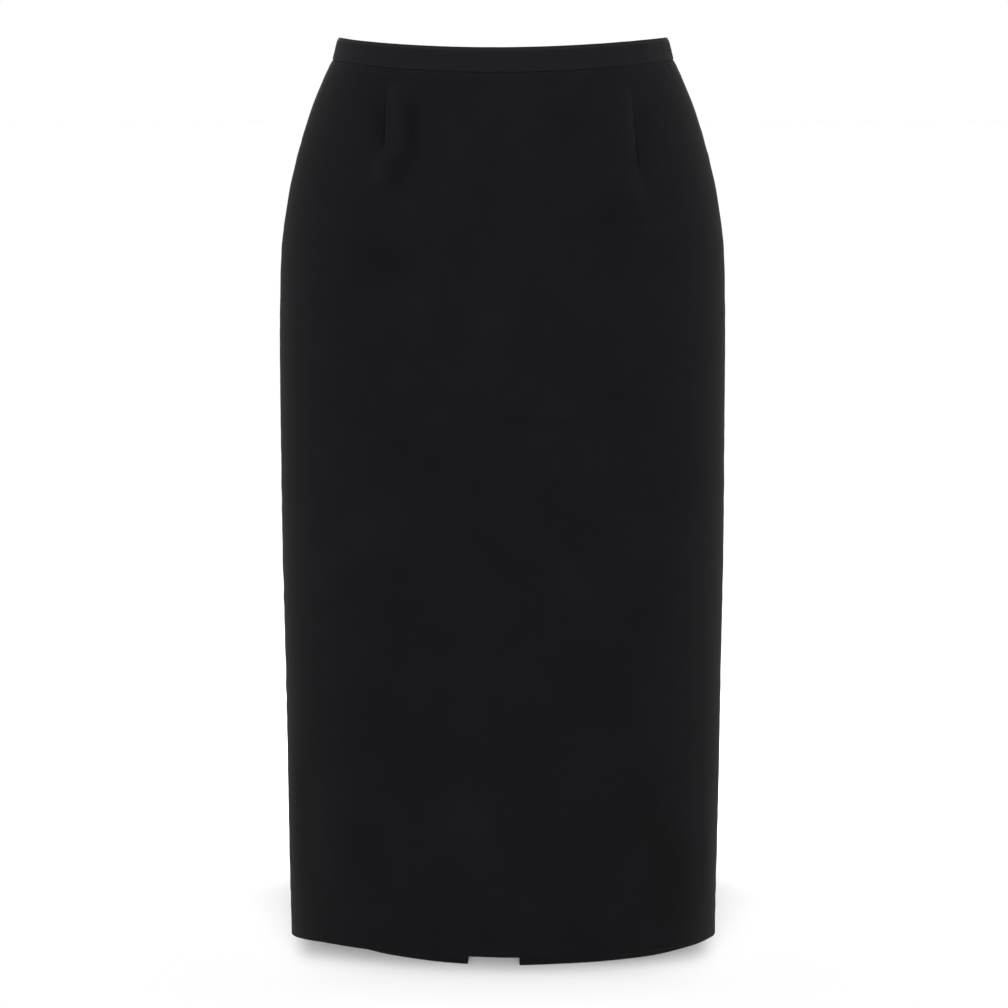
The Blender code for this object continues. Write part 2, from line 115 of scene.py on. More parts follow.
def smoothTable(rows, values, x):
    # cubic through the table's rows; its slope at a row is the harmonic mean of the two
    # straight slopes beside it, or zero where they differ in sign, so it never overshoots
    steps = np.diff(values) / np.diff(rows)
    both = steps[:-1] * steps[1:]
    inner = 2 * np.maximum(both, 0) / np.where(both > 0, steps[:-1] + steps[1:], 1.0)
    slopes = np.concatenate((steps[:1], inner, steps[-1:]))
    cell = np.clip(np.searchsorted(rows, x) - 1, 0, len(rows) - 2)
    width = rows[cell + 1] - rows[cell]
    t = (x - rows[cell]) / width
    share = t * t * (3 - 2 * t)
    bend = t * (1 - t) * width * ((1 - t) * slopes[cell] - t * slopes[cell + 1])
    return values[cell] * (1 - share) + values[cell + 1] * share + bend


def sectionSize(column, z):
    # one size of the cross-section at any height
    return smoothTable(form["sections"]["height"], form["sections"][column], z)


def ringPoint(angle, z):
    # superellipse: x is the half width times sin, y the depth times -cos, both stretched
    # by (|sin|^n + |cos|^n)^(-1/n), with its own depth in front and behind
    side = np.sin(angle)
    ahead = np.cos(angle)
    n = form["roundness"]
    reach = (np.abs(side) ** n + np.abs(ahead) ** n) ** (-1 / n)
    depth = np.where(ahead > 0, sectionSize("frontDepth", z), sectionSize("backDepth", z))
    return joined(sectionSize("halfWidth", z) * side * reach, -depth * ahead * reach, z)


def outward(angle, z):
    # unit normal: the ring's slope along it crossed with its slope upwards
    step = 1e-4
    along = ringPoint(angle + step, z) - ringPoint(angle - step, z)
    up = ringPoint(angle, z + step) - ringPoint(angle, z - step)
    normal = np.cross(along, up)
    return normal / np.linalg.norm(normal, axis=-1, keepdims=True)


def clothPoint(angle, z, inset):
    # base form's point, moved in along its normal
    return ringPoint(angle, z) - outward(angle, z) * np.asarray(inset)[..., None]


def angleAt(x, z, behind):
    # ring angle of the point with this x: the superellipse solved for cos
    across = np.clip(x / sectionSize("halfWidth", z), -1, 1)
    n = form["roundness"]
    angle = np.arctan2(across, (1 - np.abs(across) ** n) ** (1 / n))
    return np.pi - angle if behind else angle


def waistEdge(angle):
    # top edge of the waistband: dips as cos squared to the front and the back
    dip = np.where(np.cos(angle) > 0, form["frontWaistDip"], form["backWaistDip"])
    return -dip * np.cos(angle) ** 2 + form["waistTilt"] * np.sin(2 * angle)


def waistSeam(angle):
    # the waistband's height below that, a little more at front and back
    extra = form["bandHeightCentre"] - form["bandHeightSide"]
    return waistEdge(angle) - form["bandHeightSide"] - extra * np.cos(angle) ** 2


def hemEdge(angle):
    # smooth closed curve through the table of drops
    turns, drops = form["hemDrops"]["angle"], form["hemDrops"]["drop"]
    turns = np.concatenate((turns[-1:] - 360, turns, turns[:1] + 360))
    drops = np.concatenate((drops[-1:], drops, drops[:1]))
    return form["hemHeight"] - smoothTable(turns, drops, np.degrees(angle) % 360)


def girthTo(angle):
    # length round the hip from centre front to this angle: the sum of short chords
    turns = np.radians(np.arange(-10, 371))
    ring = ringPoint(turns, np.full(len(turns), -0.30))
    chords = np.linalg.norm(np.diff(ring, axis=0), axis=-1)
    length = np.concatenate(([0], np.cumsum(chords)))
    length -= np.interp(0, turns, length)
    return np.interp(angle, turns, length)


def shareDown(z):
    # how far down centre back, from the waist seam (0) to the hem (1)
    top = waistSeam(np.pi)
    return (top - z) / (top - hemEdge(np.pi))


def centreBack(z):
    # x of the slit's middle and its half gap: closed above, then swinging open with depth
    opened = np.clip((shareDown(z) - form["slitStart"]) / (1 - form["slitStart"]), 0, 1)
    return form["slitSwing"] * opened**2, form["slitHalfGap"] * opened, opened


def shortWay(angle):
    # the same turn between minus and plus half a circle
    return (angle + np.pi) % (2 * np.pi) - np.pi


def sideDistance(angle, z):
    # distance along the cloth to the nearer side seam
    return np.abs((np.abs(shortWay(angle)) - sideSeam) * sectionSize("backDepth", z))


# Folds and hollows of the cloth. A positive depth is a trough, a negative one a ridge.
folds = {
    # up and down the skirt, by the angle round it
    "round": table(
        "angle high low halfWidth depth",
        (-64, -0.500, -0.745, 0.017, 0.0013),
        (-53, -0.540, -0.700, 0.014, -0.0009),
        (50, -0.600, -0.750, 0.020, 0.0012),
        (70, -0.560, -0.700, 0.014, -0.0009),
        (128, -0.500, -0.760, 0.018, 0.0014),
        (226, -0.540, -0.760, 0.020, 0.0014),
        (240, -0.500, -0.720, 0.016, -0.0010),
    ),
    # lines on the front from one point to another, in x and height; bow is how far the
    # middle swings aside. All in mm but start and end, the shares of a line over which
    # it fades
    "front": table(
        "x1 z1 x2 z2 bow halfWidth depth start end",
        (-84.5, -30, -86.8, -96, 0, 5, -1.3, 0.2, 0.35),
        (-87.2, -78, -106, -128, 1, 5.6, -1.3, 0.35, 0.45),
        (-71.2, -34, -72.2, -104, 0, 7, 1.6, 0.5, 0.3),
        (-72.2, -84, -96, -136, -2, 7.6, 1.5, 0.35, 0.6),
        (-98.5, -38, -97, -94, 0, 5.6, 0.8, 0.45, 0.4),
        (96.5, -30, 103, -108, 0, 4.2, -0.9, 0.3, 0.4),
        (103, -96, 109, -144, 0, 5.2, -1.1, 0.4, 0.4),
        (114, -136, 121, -162, 0, 6, -1, 0.5, 0.5),
        (107.5, -40, 114, -130, 0, 4, 0.4, 0.35, 0.4),
        (80, -104, 96, -206, 0, 15, 0.8, 0.5, 0.5),
        (38, -42, 64, -92, 0, 17, 0.8, 0.5, 0.5),
        (-126, -158, -56, -186, 3, 15, 1, 0.5, 0.5),
        (-100, -198, -30, -226, 4, 10, -0.6, 0.5, 0.5),
        (-18, -150, -2, -300, 3, 20, -0.7, 0.5, 0.5),
        (-46, -304, 88, -309, -2, 5, 0.5, 0.4, 0.4),
        (-20, -236, 44, -262, 4, 9, 0.6, 0.5, 0.5),
        (-76, -352, -128, -430, 4, 18, -1, 0.5, 0.5),
        (-124, -396, -160, -462, 0, 12, -0.7, 0.5, 0.5),
        (20, -380, 70, -470, -6, 14, -0.6, 0.5, 0.5),
        (-30, -380, 28, -440, 4, 11, 0.6, 0.5, 0.5),
        (-115, -500, -64, -560, 5, 15, 0.4, 0.5, 0.5),
        (50, -480, 118, -560, 8, 20, 0.4, 0.5, 0.5),
        (100, -560, 130, -690, -4, 16, 0.8, 0.5, 0.5),
        (-118, -600, -90, -690, 4, 16, 0.5, 0.5, 0.5),
        (-40, -560, 0, -700, 6, 20, -0.6, 0.5, 0.5),
    ),
    # the same on the back, which carries its own darts
    "back": table(
        "x1 z1 x2 z2 bow halfWidth depth start end",
        (62.5, -34, 70, -140, 0, 6, -1, 0.25, 0.45),
        (79, -36, 87, -150, 2, 7, 1.3, 0.4, 0.5),
        (-62.5, -34, -69, -134, 0, 6, -1.1, 0.25, 0.45),
        (-79, -36, -86, -160, -2, 7, 1.4, 0.4, 0.5),
        (78, -130, 90, -176, 0, 6, -0.9, 0.4, 0.5),
        (-74, -126, -88, -172, 0, 5.6, -0.9, 0.4, 0.5),
        (30, -200, 42, -420, 6, 22, 1, 0.5, 0.5),
        (-36, -230, -30, -470, -6, 24, 1, 0.5, 0.5),
        (-118, -150, -44, -190, 6, 12, 0.9, 0.5, 0.5),
        (118, -162, 40, -196, 6, 13, 0.8, 0.5, 0.5),
        (-70, -316, 40, -309, 3, 5, 0.5, 0.4, 0.4),
        (15, -430, 33, -600, 5, 14, -1, 0.5, 0.5),
        (-20, -480, -48, -680, -6, 16, -1.1, 0.5, 0.5),
        (90, -420, 130, -540, 6, 16, -0.8, 0.5, 0.5),
        (-90, -360, -134, -450, 6, 15, -0.8, 0.5, 0.5),
    ),
    "shoulderHeight": -0.40 * mm,  # of the ridge that the waist seam's allowances press up
    "shoulderReach": 8 * mm,
}

darts = {
    # seam line of each dart from the waist seam to its tip; pressed is the side it lies to
    "lines": table(
        "xTop xTip tipHeight behind pressed",
        (-0.0912, -0.0944, -0.091, 0, 1),
        (0.0985, 0.1072, -0.108, 0, -1),
        (0.0700, 0.0770, -0.128, 1, -1),
        (-0.0700, -0.0760, -0.124, 1, 1),
    ),
    "depth": 1.5 * mm,
    "topShare": 0.08,  # of that depth at the waist seam
    "sharpWidth": 0.7 * mm,  # of the valley's wall on the side the dart lies to
    "softWidth": 2.1 * mm,  # and on the other side
    "intakeWidth": 9 * mm,  # of the cloth folded away inside, at the waist seam
    "tipHollow": 0.45 * mm,
    "tipRadius": 6 * mm,
}

ripples = {
    # height of the pucker, how far it reaches from the seam and its usual length along it
    "side": (0.34 * mm, 11 * mm, 23 * mm),
    "waist": (0.22 * mm, 8 * mm, 15 * mm),
    "zip": (0.32 * mm, 12 * mm, 27 * mm),
    "centre": (0.18 * mm, 8 * mm, 17 * mm),
    "hem": (0.40 * mm, 26 * mm, 74 * mm),
    "body": 0.32 * mm,
    # its slow waves: share of that height, length round and up the skirt, and phase
    "bodyWaves": ((1, 0.171, 0.83, 0.7), (0.7, 0.113, -0.39, 2.2), (0.5, 0.262, 0.22, 4.1)),
}


def uneven(along, wave, phase):
    # sine whose spacing drifts: its argument carries a slower sine of its own
    turns = 2 * np.pi * along / wave
    return np.sin(turns + 1.6 * np.sin(turns / 3.3 + phase) + phase)


def pucker(name, distance, along, phase):
    # uneven ripple along a seam, fading exponentially with the distance from it
    height, reach, wave = ripples[name]
    swell = 0.6 + 0.4 * uneven(along, 4.7 * wave, phase + 1)
    return height * swell * np.exp(-np.abs(distance) / reach) * uneven(along, wave, phase)


def dartLine(index, z):
    # x of a dart's seam line and how far down it this height is
    lines = darts["lines"]
    t = np.clip((waistSeam(0.0) - z) / (waistSeam(0.0) - lines["tipHeight"][index]), 0, 1)
    return lines["xTop"][index] + (lines["xTip"][index] - lines["xTop"][index]) * t, t


def dartShape(angle, z, x):
    # a valley along each seam line, as e to the minus distance, steep on the side the
    # dart lies to; deeper towards its tip, with a round hollow just under the tip
    inset = 0 * x
    lines = darts["lines"]
    for index, behind in enumerate(lines["behind"]):
        lineX, t = dartLine(index, z)
        facing = np.cos(angle) < 0 if behind else np.cos(angle) > 0
        across = (x - lineX) * lines["pressed"][index]
        width = np.where(across > 0, darts["sharpWidth"], darts["softWidth"])
        deeper = darts["topShare"] + (1 - darts["topShare"]) * smooth((t - 0.1) / 0.6)
        valley = darts["depth"] * deeper * smooth((1 - t) / 0.10) * np.exp(-np.abs(across) / width)
        below = np.hypot(x - lineX, z - lines["tipHeight"][index] + darts["tipRadius"])
        hollow = darts["tipHollow"] * np.exp(-((below / darts["tipRadius"]) ** 2))
        inset = inset + np.where(facing, valley + hollow, 0)
    return inset


def foldShape(angle, z, x):
    # bell across each fold; sine squared along the round ones, eased ends on the others
    inset = 0 * x
    for middle, high, low, halfWidth, depth in zip(*folds["round"].values()):
        across = shortWay(angle - np.radians(middle)) * sectionSize("backDepth", z) / halfWidth
        along = np.clip((high - z) / (high - low), 0, 1)
        inset = inset + depth * np.exp(-across**2) * np.sin(np.pi * along) ** 2
    for name, facing in (("front", np.cos(angle) > 0), ("back", np.cos(angle) < 0)):
        for *sizes, start, end in zip(*folds[name].values()):
            x1, z1, x2, z2, bow, halfWidth, depth = mm * np.array(sizes)
            length = np.hypot(x2 - x1, z2 - z1)
            t = ((x - x1) * (x2 - x1) + (z - z1) * (z2 - z1)) / length**2
            aside = ((x - x1) * (z2 - z1) - (z - z1) * (x2 - x1)) / length - bow * 4 * t * (1 - t)
            bell = np.exp(-((aside / halfWidth) ** 2)) * smooth(t / start) * smooth((1 - t) / end)
            inset = inset + np.where(facing, depth * bell, 0)
    below = (waistSeam(angle) - z) / folds["shoulderReach"]
    shoulder = np.where(below > 0, np.sin(np.pi * np.clip(below, 0, 1)), 0)
    return inset + folds["shoulderHeight"] * shoulder


def seamShape(angle, z, x, girth):
    # puckers along every seam and a slow wave along the hem
    inset = pucker("side", sideDistance(angle, z), z, 0.4) * np.where(np.sin(angle) > 0, 1.0, 0.8)
    below = waistSeam(angle) - z
    inset = inset + np.where(below > 0, pucker("waist", below, girth, 2.1), 0)
    middle, half, opened = centreBack(z)
    aside = np.abs(x - middle)
    zipped = smooth((form["zipEnd"] - shareDown(z)) / 0.02)
    back = zipped * pucker("zip", aside, z + 0.004 * np.sign(x), 0.9)
    back = back + (1 - zipped) * (1 - opened) * pucker("centre", aside, z, 1.7)
    inset = inset + np.where(np.cos(angle) < 0, back, 0)
    return inset + pucker("hem", z - hemEdge(angle), girth, 2.8)


def bodyWave(angle, z, girth):
    # broad unevenness: slow sines that cross at different slants
    waves = sum(share * np.sin(2 * np.pi * (girth / around + z / up) + phase)
                for share, around, up, phase in ripples["bodyWaves"])
    return ripples["body"] * waves * smooth((waistSeam(angle) - z) / 0.03)


underPull = {"halfWidth": 4 * mm, "sideEase": 9 * mm, "height": 20 * mm, "lowEase": 12 * mm}


def underTab(angle, z, x):
    # 1 behind the hanging pull tab, where the cloth lies flat, easing to 0 around it
    aside = 1 - smooth((np.abs(x) - underPull["halfWidth"]) / underPull["sideEase"])
    below = 1 - smooth((waistSeam(angle) - z - underPull["height"]) / underPull["lowEase"])
    return np.where(np.cos(angle) < 0, aside * below, 0)


def hollows(angle, z):
    # folds and darts alone
    angle, z = np.broadcast_arrays(angle, z)
    x = ringPoint(angle, z)[..., 0]
    return foldShape(angle, z, x) + dartShape(angle, z, x)


def relief(angle, z):
    # all the cloth's own unevenness, as one inset from the base form
    angle, z = np.broadcast_arrays(angle, z)
    x = ringPoint(angle, z)[..., 0]
    girth = girthTo(angle)
    loose = seamShape(angle, z, x, girth) + bodyWave(angle, z, girth)
    return hollows(angle, z) + loose * (1 - underTab(angle, z, x))


def rolled(distance, radius):
    # quarter circle by which cloth turns in at an edge: radius minus the root of
    # radius squared less what is left to the radius, squared
    left = np.clip(radius - distance, 0, 0.98 * radius)
    return radius - np.sqrt(radius**2 - left**2)


# meshes

def makeMesh(name, points, faceGroups, uv=None):
    # mesh object from points and arrays of faces; uv holds one pair for each face corner
    mesh = bpy.data.meshes.new(name)
    faces = [face for group in faceGroups for face in group.tolist()]
    mesh.from_pydata(points.reshape(-1, 3).tolist(), [], faces)
    if uv is not None:
        layer = mesh.uv_layers.new(name="cloth")
        corners = np.concatenate([part.ravel() for part in uv])
        layer.data.foreach_set("uv", corners.astype(np.float32))
    mesh.shade_smooth()
    mesh.set_sharp_from_angle(angle=np.radians(40))
    mesh.update()
    piece = bpy.data.objects.new(name, mesh)
    bpy.context.scene.collection.objects.link(piece)
    return piece


def addAttribute(piece, name, values):
    # one number for each point of the mesh
    layer = piece.data.attributes.new(name, "FLOAT", "POINT")
    layer.data.foreach_set("value", values.ravel().astype(np.float32))


def quads(index):
    # four corners of each cell of an index grid, down and then along, so it faces outwards
    corners = joined(index[:-1, :-1], index[1:, :-1], index[1:, 1:], index[:-1, 1:])
    return corners.reshape(-1, 4)


def measureGrid(points):
    # uv in metres: length along each row from its middle, and down each column
    along = np.linalg.norm(np.diff(points, axis=1), axis=-1)
    along = np.concatenate((np.zeros((len(points), 1)), np.cumsum(along, axis=1)), axis=1)
    along -= along[:, [points.shape[1] // 2]]
    down = np.linalg.norm(np.diff(points, axis=0), axis=-1).mean(axis=1)
    down = np.concatenate(([0], np.cumsum(down)))
    return joined(along, -down[:, None])


def closedWall(name, points, outerRows, lowerRows):
    # a grid whose rows run round a wall's section; both ends are capped between the
    # rows of the outer face and those of the inner face, and across the two folds
    count, columns = points.shape[:2]
    index = np.arange(count * columns).reshape(count, columns)
    looped = np.concatenate((index, index[:1]))
    place = measureGrid(np.concatenate((points, points[:1]))).reshape(-1, 2)
    faces = [quads(looped)]
    uv = [place[quads(np.arange(looped.size).reshape(looped.shape))]]
    upperRows = count - 2 * outerRows - lowerRows
    left = np.arange(-(upperRows // 2), outerRows + lowerRows // 2) % count
    right = (2 * outerRows + lowerRows - 1 - left) % count
    cap = joined(left[:-1], left[1:], right[1:], right[:-1])
    for cells in (index[cap[:, (0, 3, 2, 1)], 0], index[cap, -1]):
        faces.append(cells)
        uv.append(place[cells])
    return makeMesh(name, points, faces, uv)


def wallRows(angle, z, inset, wall, lowerRows=4, upperRows=0):
    # rows round a wall's section: down its outer face, half a circle as thick as the
    # wall round the lower fold, up the inner face, and half a circle round an upper fold
    def fold(row, turns, side):
        half = wall[row] / 2
        down = side * half * np.sin(turns)[:, None]
        depth = inset[row] + half * (1 - np.cos(turns))[:, None]
        return clothPoint(np.broadcast_to(angle[row], down.shape), z[row] - down, depth)

    turns = np.pi * np.arange(1, lowerRows + 1) / (lowerRows + 1)
    parts = [clothPoint(angle, z, inset), fold(-1, turns, 1)]
    parts.append(clothPoint(angle, z, inset + wall)[::-1])
    if upperRows:
        turns = np.pi * np.arange(upperRows, 0, -1) / (upperRows + 1)
        parts.append(fold(0, turns, -1))
    return np.concatenate(parts)


def tubes(name, paths, radius, sides):
    # round threads in one mesh, each from the points of its path and a normal at each:
    # circles across the path, with both ends capped
    points, faces, first = [], [], 0
    turns = 2 * np.pi * np.arange(sides) / sides
    for path, normals in paths:
        ahead = np.gradient(path, axis=0)
        across = np.cross(ahead, normals)
        across /= np.linalg.norm(across, axis=-1, keepdims=True)
        lift = np.cross(across, ahead)
        lift /= np.linalg.norm(lift, axis=-1, keepdims=True)
        circle = across[:, None] * np.cos(turns)[:, None] + lift[:, None] * np.sin(turns)[:, None]
        points.append((path[:, None] + radius * circle).reshape(-1, 3))
        index = first + np.arange(len(path) * sides).reshape(len(path), sides)
        closed = np.concatenate((index, index[:, :1]), axis=1)
        faces += [quads(closed.T), index[:1, ::-1], index[-1:]]
        first += index.size
    return makeMesh(name, np.concatenate(points), faces)


def loft(name, rings, closed=False):
    # skin over rings of points that run clockwise seen along the loft; closed joins the
    # last ring to the first, otherwise both ends are capped
    index = np.arange(rings[..., 0].size).reshape(rings.shape[:2])
    around = np.concatenate((index, index[:, :1]), axis=1)
    if closed:
        around = np.concatenate((around, around[:1]))
    caps = [] if closed else [index[:1, ::-1], index[-1:]]
    piece = makeMesh(name, rings, [quads(around), *caps])
    bm = bmesh.new()
    bm.from_mesh(piece.data)
    bmesh.ops.recalc_face_normals(bm, faces=bm.faces)
    bm.to_mesh(piece.data)
    bm.free()
    return piece


# cloth pieces

cloth = {
    "wall": 0.95 * mm,
    "seamAllowance": 12 * mm,
    "hemTurnUp": 35 * mm,
    "slitTurnIn": 24 * mm,
    "layer": 0.85 * mm,  # each further layer of cloth lying inside
    "edgeRoll": 0.7 * mm,  # sewn edges meet, and turn in to leave the groove that shows
    "waistRoll": 1 * mm,
    "layerStep": 0.6 * mm,  # over which a layer's raw edge thins out
}


def layerEdge(distance):
    # 1 where a further layer lies, easing to 0 past its raw edge
    return smooth(distance / cloth["layerStep"] + 0.5)


def wallThickness(angle, z):
    # one layer, plus the turned-up hem or turned-in slit, the seams' allowances and the
    # darts' intake, each a further layer inside
    angle, z = np.broadcast_arrays(angle, z)
    x = ringPoint(angle, z)[..., 0]
    behind = np.cos(angle) < 0
    middle, half, opened = centreBack(z)
    aside = np.abs(x - middle) - half
    turned = layerEdge(cloth["hemTurnUp"] - (z - hemEdge(angle)))
    slit = np.where(behind & (opened > 0), layerEdge(cloth["slitTurnIn"] - aside), 0)
    seams = layerEdge(cloth["seamAllowance"] - sideDistance(angle, z))
    centre = np.where(behind & (opened <= 0), layerEdge(cloth["seamAllowance"] - aside), 0)
    layers = np.maximum(turned, slit) + np.maximum(seams, centre)
    lines = darts["lines"]
    for index, back in enumerate(lines["behind"]):
        lineX, t = dartLine(index, z)
        inside = (x - lineX) * lines["pressed"][index]
        width = darts["intakeWidth"] * (1 - t)
        intake = layerEdge(width - inside) * layerEdge(inside) * smooth(8 * (1 - t))
        layers = layers + np.where(behind == bool(back), 1.6 * intake, 0)
    return cloth["wall"] + cloth["layer"] * layers


rowPlan = {
    "fromSeam": mm * np.array([0, 0.06, 0.2, 0.42, 0.7, 1.1, 1.8, 3, 5, 8, 11, 14.5]),
    "fromHem": mm * np.array([44, 41, 38.5, 36.6, 35.6, 35, 34.4, 33.4, 31, 28, 25, 22,
                              19, 16, 13, 10, 7.5, 5.2, 3.4, 2.2, 1.4, 0.97]),
    "between": 160,
}
columnPlan = {
    # in from a side seam, over its allowance's raw edge, and on over the slit's at the back
    "edge": mm * np.array([0, 0.06, 0.2, 0.42, 0.7, 1.1, 1.8, 3, 5, 8, 11.2, 11.8, 12.4, 13, 15]),
    "slit": mm * np.array([19, 23.2, 23.8, 24.4, 25, 28]),
    # across a dart's line, towards the side it lies to, and over its intake's raw edge
    "dart": mm * np.array([-12, -9, -6.8, -5, -3.7, -2.6, -1.7, -1.1, -0.6, -0.25, 0,
                           0.2, 0.45, 0.8, 1.3, 2]),
    "intake": mm * np.array([-0.3, 0.4, 3]),
    "intakeTip": 3 * mm,  # distance of those last ones from the line at the dart's tip
    "frontCells": (36, 47, 36),  # from side seam to dart, dart to dart, and dart to side seam
    "backCells": (41, 8),  # from side seam to dart, and dart to centre back
}


def panelRows():
    # for each row: how far below the waist seam, how far above the hem, and the share of
    # each, close together at both edges and evenly spaced between
    high, low, count = rowPlan["fromSeam"], rowPlan["fromHem"], rowPlan["between"]
    share = np.arange(1, count) / count
    below = np.concatenate((high, np.full(count - 1, high[-1]), 0 * low))
    above = np.concatenate((0 * high, np.full(count - 1, low[0]), low))
    return below, above, np.concatenate((0 * high, share, 0 * low + 1))


def rowHeight(angle, rows):
    # heights of the rows at each angle, straight between the two edges
    below, above, share = (part[:, None] if np.ndim(angle) == 2 else part for part in rows)
    top = waistSeam(angle) - below
    return top + (hemEdge(angle) + above - top) * share


def columnAngles(groups, between):
    # columns row by row: one at each stop, and straight steps in the given numbers of
    # cells between one group of stops and the next
    cells = []
    for group, count in zip(groups, (*between, 1)):
        cells += [1] * (len(group) - 1) + [count]
    cells = cells[:-1]
    stops = joined(*sum(groups, []))
    which = np.repeat(np.arange(len(cells)), cells)
    share = np.concatenate([np.arange(count) / count for count in cells])
    left, right = stops[:, which], stops[:, which + 1]
    return np.concatenate((left + (right - left) * share, stops[:, -1:]), axis=1)


def dartStops(index, z):
    # columns across a dart's line and over its intake, in order of x
    lineX, t = dartLine(index, z)
    behind = darts["lines"]["behind"][index] > 0
    pressed = darts["lines"]["pressed"][index]
    width = columnPlan["intakeTip"] + (darts["intakeWidth"] - columnPlan["intakeTip"]) * (1 - t)
    aside = [lineX + pressed * step for step in columnPlan["dart"]]
    aside += [lineX + pressed * (width + step) for step in columnPlan["intake"]]
    return [angleAt(x, z, behind) for x in (aside if pressed > 0 else aside[::-1])]


def clothPiece(name, angle, z, inset, wall):
    # a panel's wall, with the depth of its hollows outside as painted shade in folds and darts and
    # painted highlight on ridges, painted shade round the hem fold, and a mark on its inner face
    points = wallRows(angle, z, inset, wall)
    piece = closedWall(name, points, outerRows=len(z), lowerRows=4)
    # painted shade: the depth of folds and darts, and a fixed 1 mm round the hem fold, darkens the
    # cloth's colour; a ridge's negative depth lightens it, a painted highlight
    depth = hollows(angle, z) / mm
    fold = np.ones((4, z.shape[1]))
    inner = np.ones(z.shape)
    addAttribute(piece, "hollow", np.concatenate((depth, fold, 0 * inner)))
    # inside: the inner face is painted paler, a painted fill light where little light reaches,
    # partly the cloth's paler wrong side
    addAttribute(piece, "inside", np.concatenate((0 * depth, 0 * fold, inner)))
    return piece


def seamRoll(angle, z):
    # inset by which a panel turns in at its side seam and at the waist seam
    side = rolled(sideDistance(angle, z), cloth["edgeRoll"])
    return side + rolled(waistSeam(angle) - z, cloth["waistRoll"])


def frontPanel():
    # from one side seam over both darts to the other
    rows = panelRows()
    z = rowHeight(0.0, rows)
    edge = [sideSeam - step / sectionSize("backDepth", z) for step in columnPlan["edge"]]
    groups = ([-stop for stop in edge], dartStops(0, z), dartStops(1, z), edge[::-1])
    angle = columnAngles(groups, columnPlan["frontCells"])
    z = rowHeight(angle, rows)
    roll = seamRoll(angle, z)
    inset = relief(angle, z) + roll
    return clothPiece("front_panel_cloth", angle, z, inset, wallThickness(angle, z) - roll)


def backPanel(name, side, dart):
    # from a side seam over its dart to centre back, where it turns in at the slit
    rows = panelRows()
    z = rowHeight(np.pi, rows)
    outer = [sideSeam + step / sectionSize("backDepth", z) for step in columnPlan["edge"]]
    middle, half, opened = centreBack(z)
    inner = [angleAt(middle + side * (half + step), z, True)
             for step in (*columnPlan["edge"], *columnPlan["slit"])]
    # dart stops come in order of x, and the angle falls with x on the back
    across = dartStops(dart, z)[::-1]
    if side > 0:
        angle = columnAngles((outer, across, inner[::-1]), columnPlan["backCells"])
    else:
        outer = [2 * np.pi - stop for stop in outer]
        angle = columnAngles((inner, across, outer[::-1]), columnPlan["backCells"][::-1])
    z = rowHeight(angle, rows)
    middle, half, opened = centreBack(z)
    centreEdge = np.abs(ringPoint(angle, z)[..., 0] - middle) - half
    wall = wallThickness(angle, z)
    # 0 where centre back is a seam, 1 where it is the slit's fold, as round as its wall
    folded = smooth(opened / 0.06)
    radius = cloth["edgeRoll"] + (wall / 2 - cloth["edgeRoll"]) * folded
    centreRoll = rolled(centreEdge, radius)
    roll = seamRoll(angle, z)
    inset = relief(angle, z) + roll + centreRoll
    return clothPiece(name, angle, z, inset, wall - roll - centreRoll * (1 + folded))


band = {
    "proud": 0.5 * mm,
    "wall": 2.3 * mm,
    "endGap": 1.6 * mm,  # between its two ends, where the slider's neck passes
    "roll": 0.9 * mm,
    # rows of its outer face, as shares of the way down
    "heights": np.array([0.07, 0.075, 0.095, 0.12, 0.15, 0.185, 0.225, 0.27, 0.33, 0.41, 0.5, 0.6,
                         0.69, 0.77, 0.84, 0.895, 0.93, 0.955, 0.972, 0.985, 0.994, 1]),
    "topLean": 1.2 * mm,  # by which its folded top edge leans in
    "topReach": 0.24,  # and the share of its height over which it does
    "ripple": 0.24 * mm,
    "crown": 0.25 * mm,
    "columns": 240,
    "paintedHighlight": (2 * mm, 1.1 * mm, -2.6),  # painted highlight along its fold: depth, half width, strength
}


def waistband():
    # two folded layers from one side of the zip to the other: flat, with a full fold on
    # top and its lower edge turned in to the seam
    endSteps = mm * np.array([0, 0.06, 0.2, 0.5, 0.9, 1.5, 2.5, 4, 6])
    z = waistEdge(np.pi) + (waistSeam(np.pi) - waistEdge(np.pi)) * band["heights"]
    end = [angleAt(band["endGap"] / 2 + step, z, True) for step in endSteps]
    angle = columnAngles(([-stop for stop in end], end[::-1]), (band["columns"],))
    top = waistEdge(angle)
    z = top + (waistSeam(angle) - top) * band["heights"][:, None]
    z[0] = top[0] - band["wall"] / 2
    girth = girthTo(angle)
    down = (top - z) / (top - waistSeam(angle))
    lean = band["topLean"] * np.clip(1 - down / band["topReach"], 0, 1) ** 2
    arch = np.sin(np.pi * np.clip(down, 0, 1))
    swell = band["ripple"] * arch * (
        uneven(girth, 0.046, 0.3) + 0.6 * uneven(girth + 0.1 * z, 0.021, 1.9))
    crown = -band["crown"] * arch**0.8
    endEdge = np.abs(ringPoint(angle, z)[..., 0]) - band["endGap"] / 2
    endRoll = np.where(np.cos(angle) < 0, rolled(endEdge, band["wall"] / 2), 0)
    radius = band["roll"] * (0.85 + 0.3 * uneven(girth, 0.038, 0.9))
    roll = rolled((1 - down) * (top - waistSeam(angle)), radius)
    inset = -band["proud"] + swell + crown + lean + roll + endRoll
    wall = band["wall"] - roll - 2 * endRoll - swell - crown
    points = wallRows(angle, z, inset, wall, lowerRows=2, upperRows=6)
    piece = closedWall("waistband_cloth", points, outerRows=len(z), lowerRows=2)
    # a painted highlight along the fold, where its rounded edge would catch the light: a bell
    # across it, and half as much round the rest of the top fold
    depth, halfWidth, strength = band["paintedHighlight"]
    paintedHighlight = np.zeros(points.shape[:2])
    paintedHighlight[:len(z)] = strength * np.exp(-(((top - z - depth) / halfWidth) ** 2))
    paintedHighlight[-6:] = strength / 2
    addAttribute(piece, "hollow", paintedHighlight)
    return piece


front = frontPanel()
backLeft = backPanel("back_panel_left_cloth", 1, 2)
backRight = backPanel("back_panel_right_cloth", -1, 3)
bandCloth = waistband()
print("cloth made")


# zip

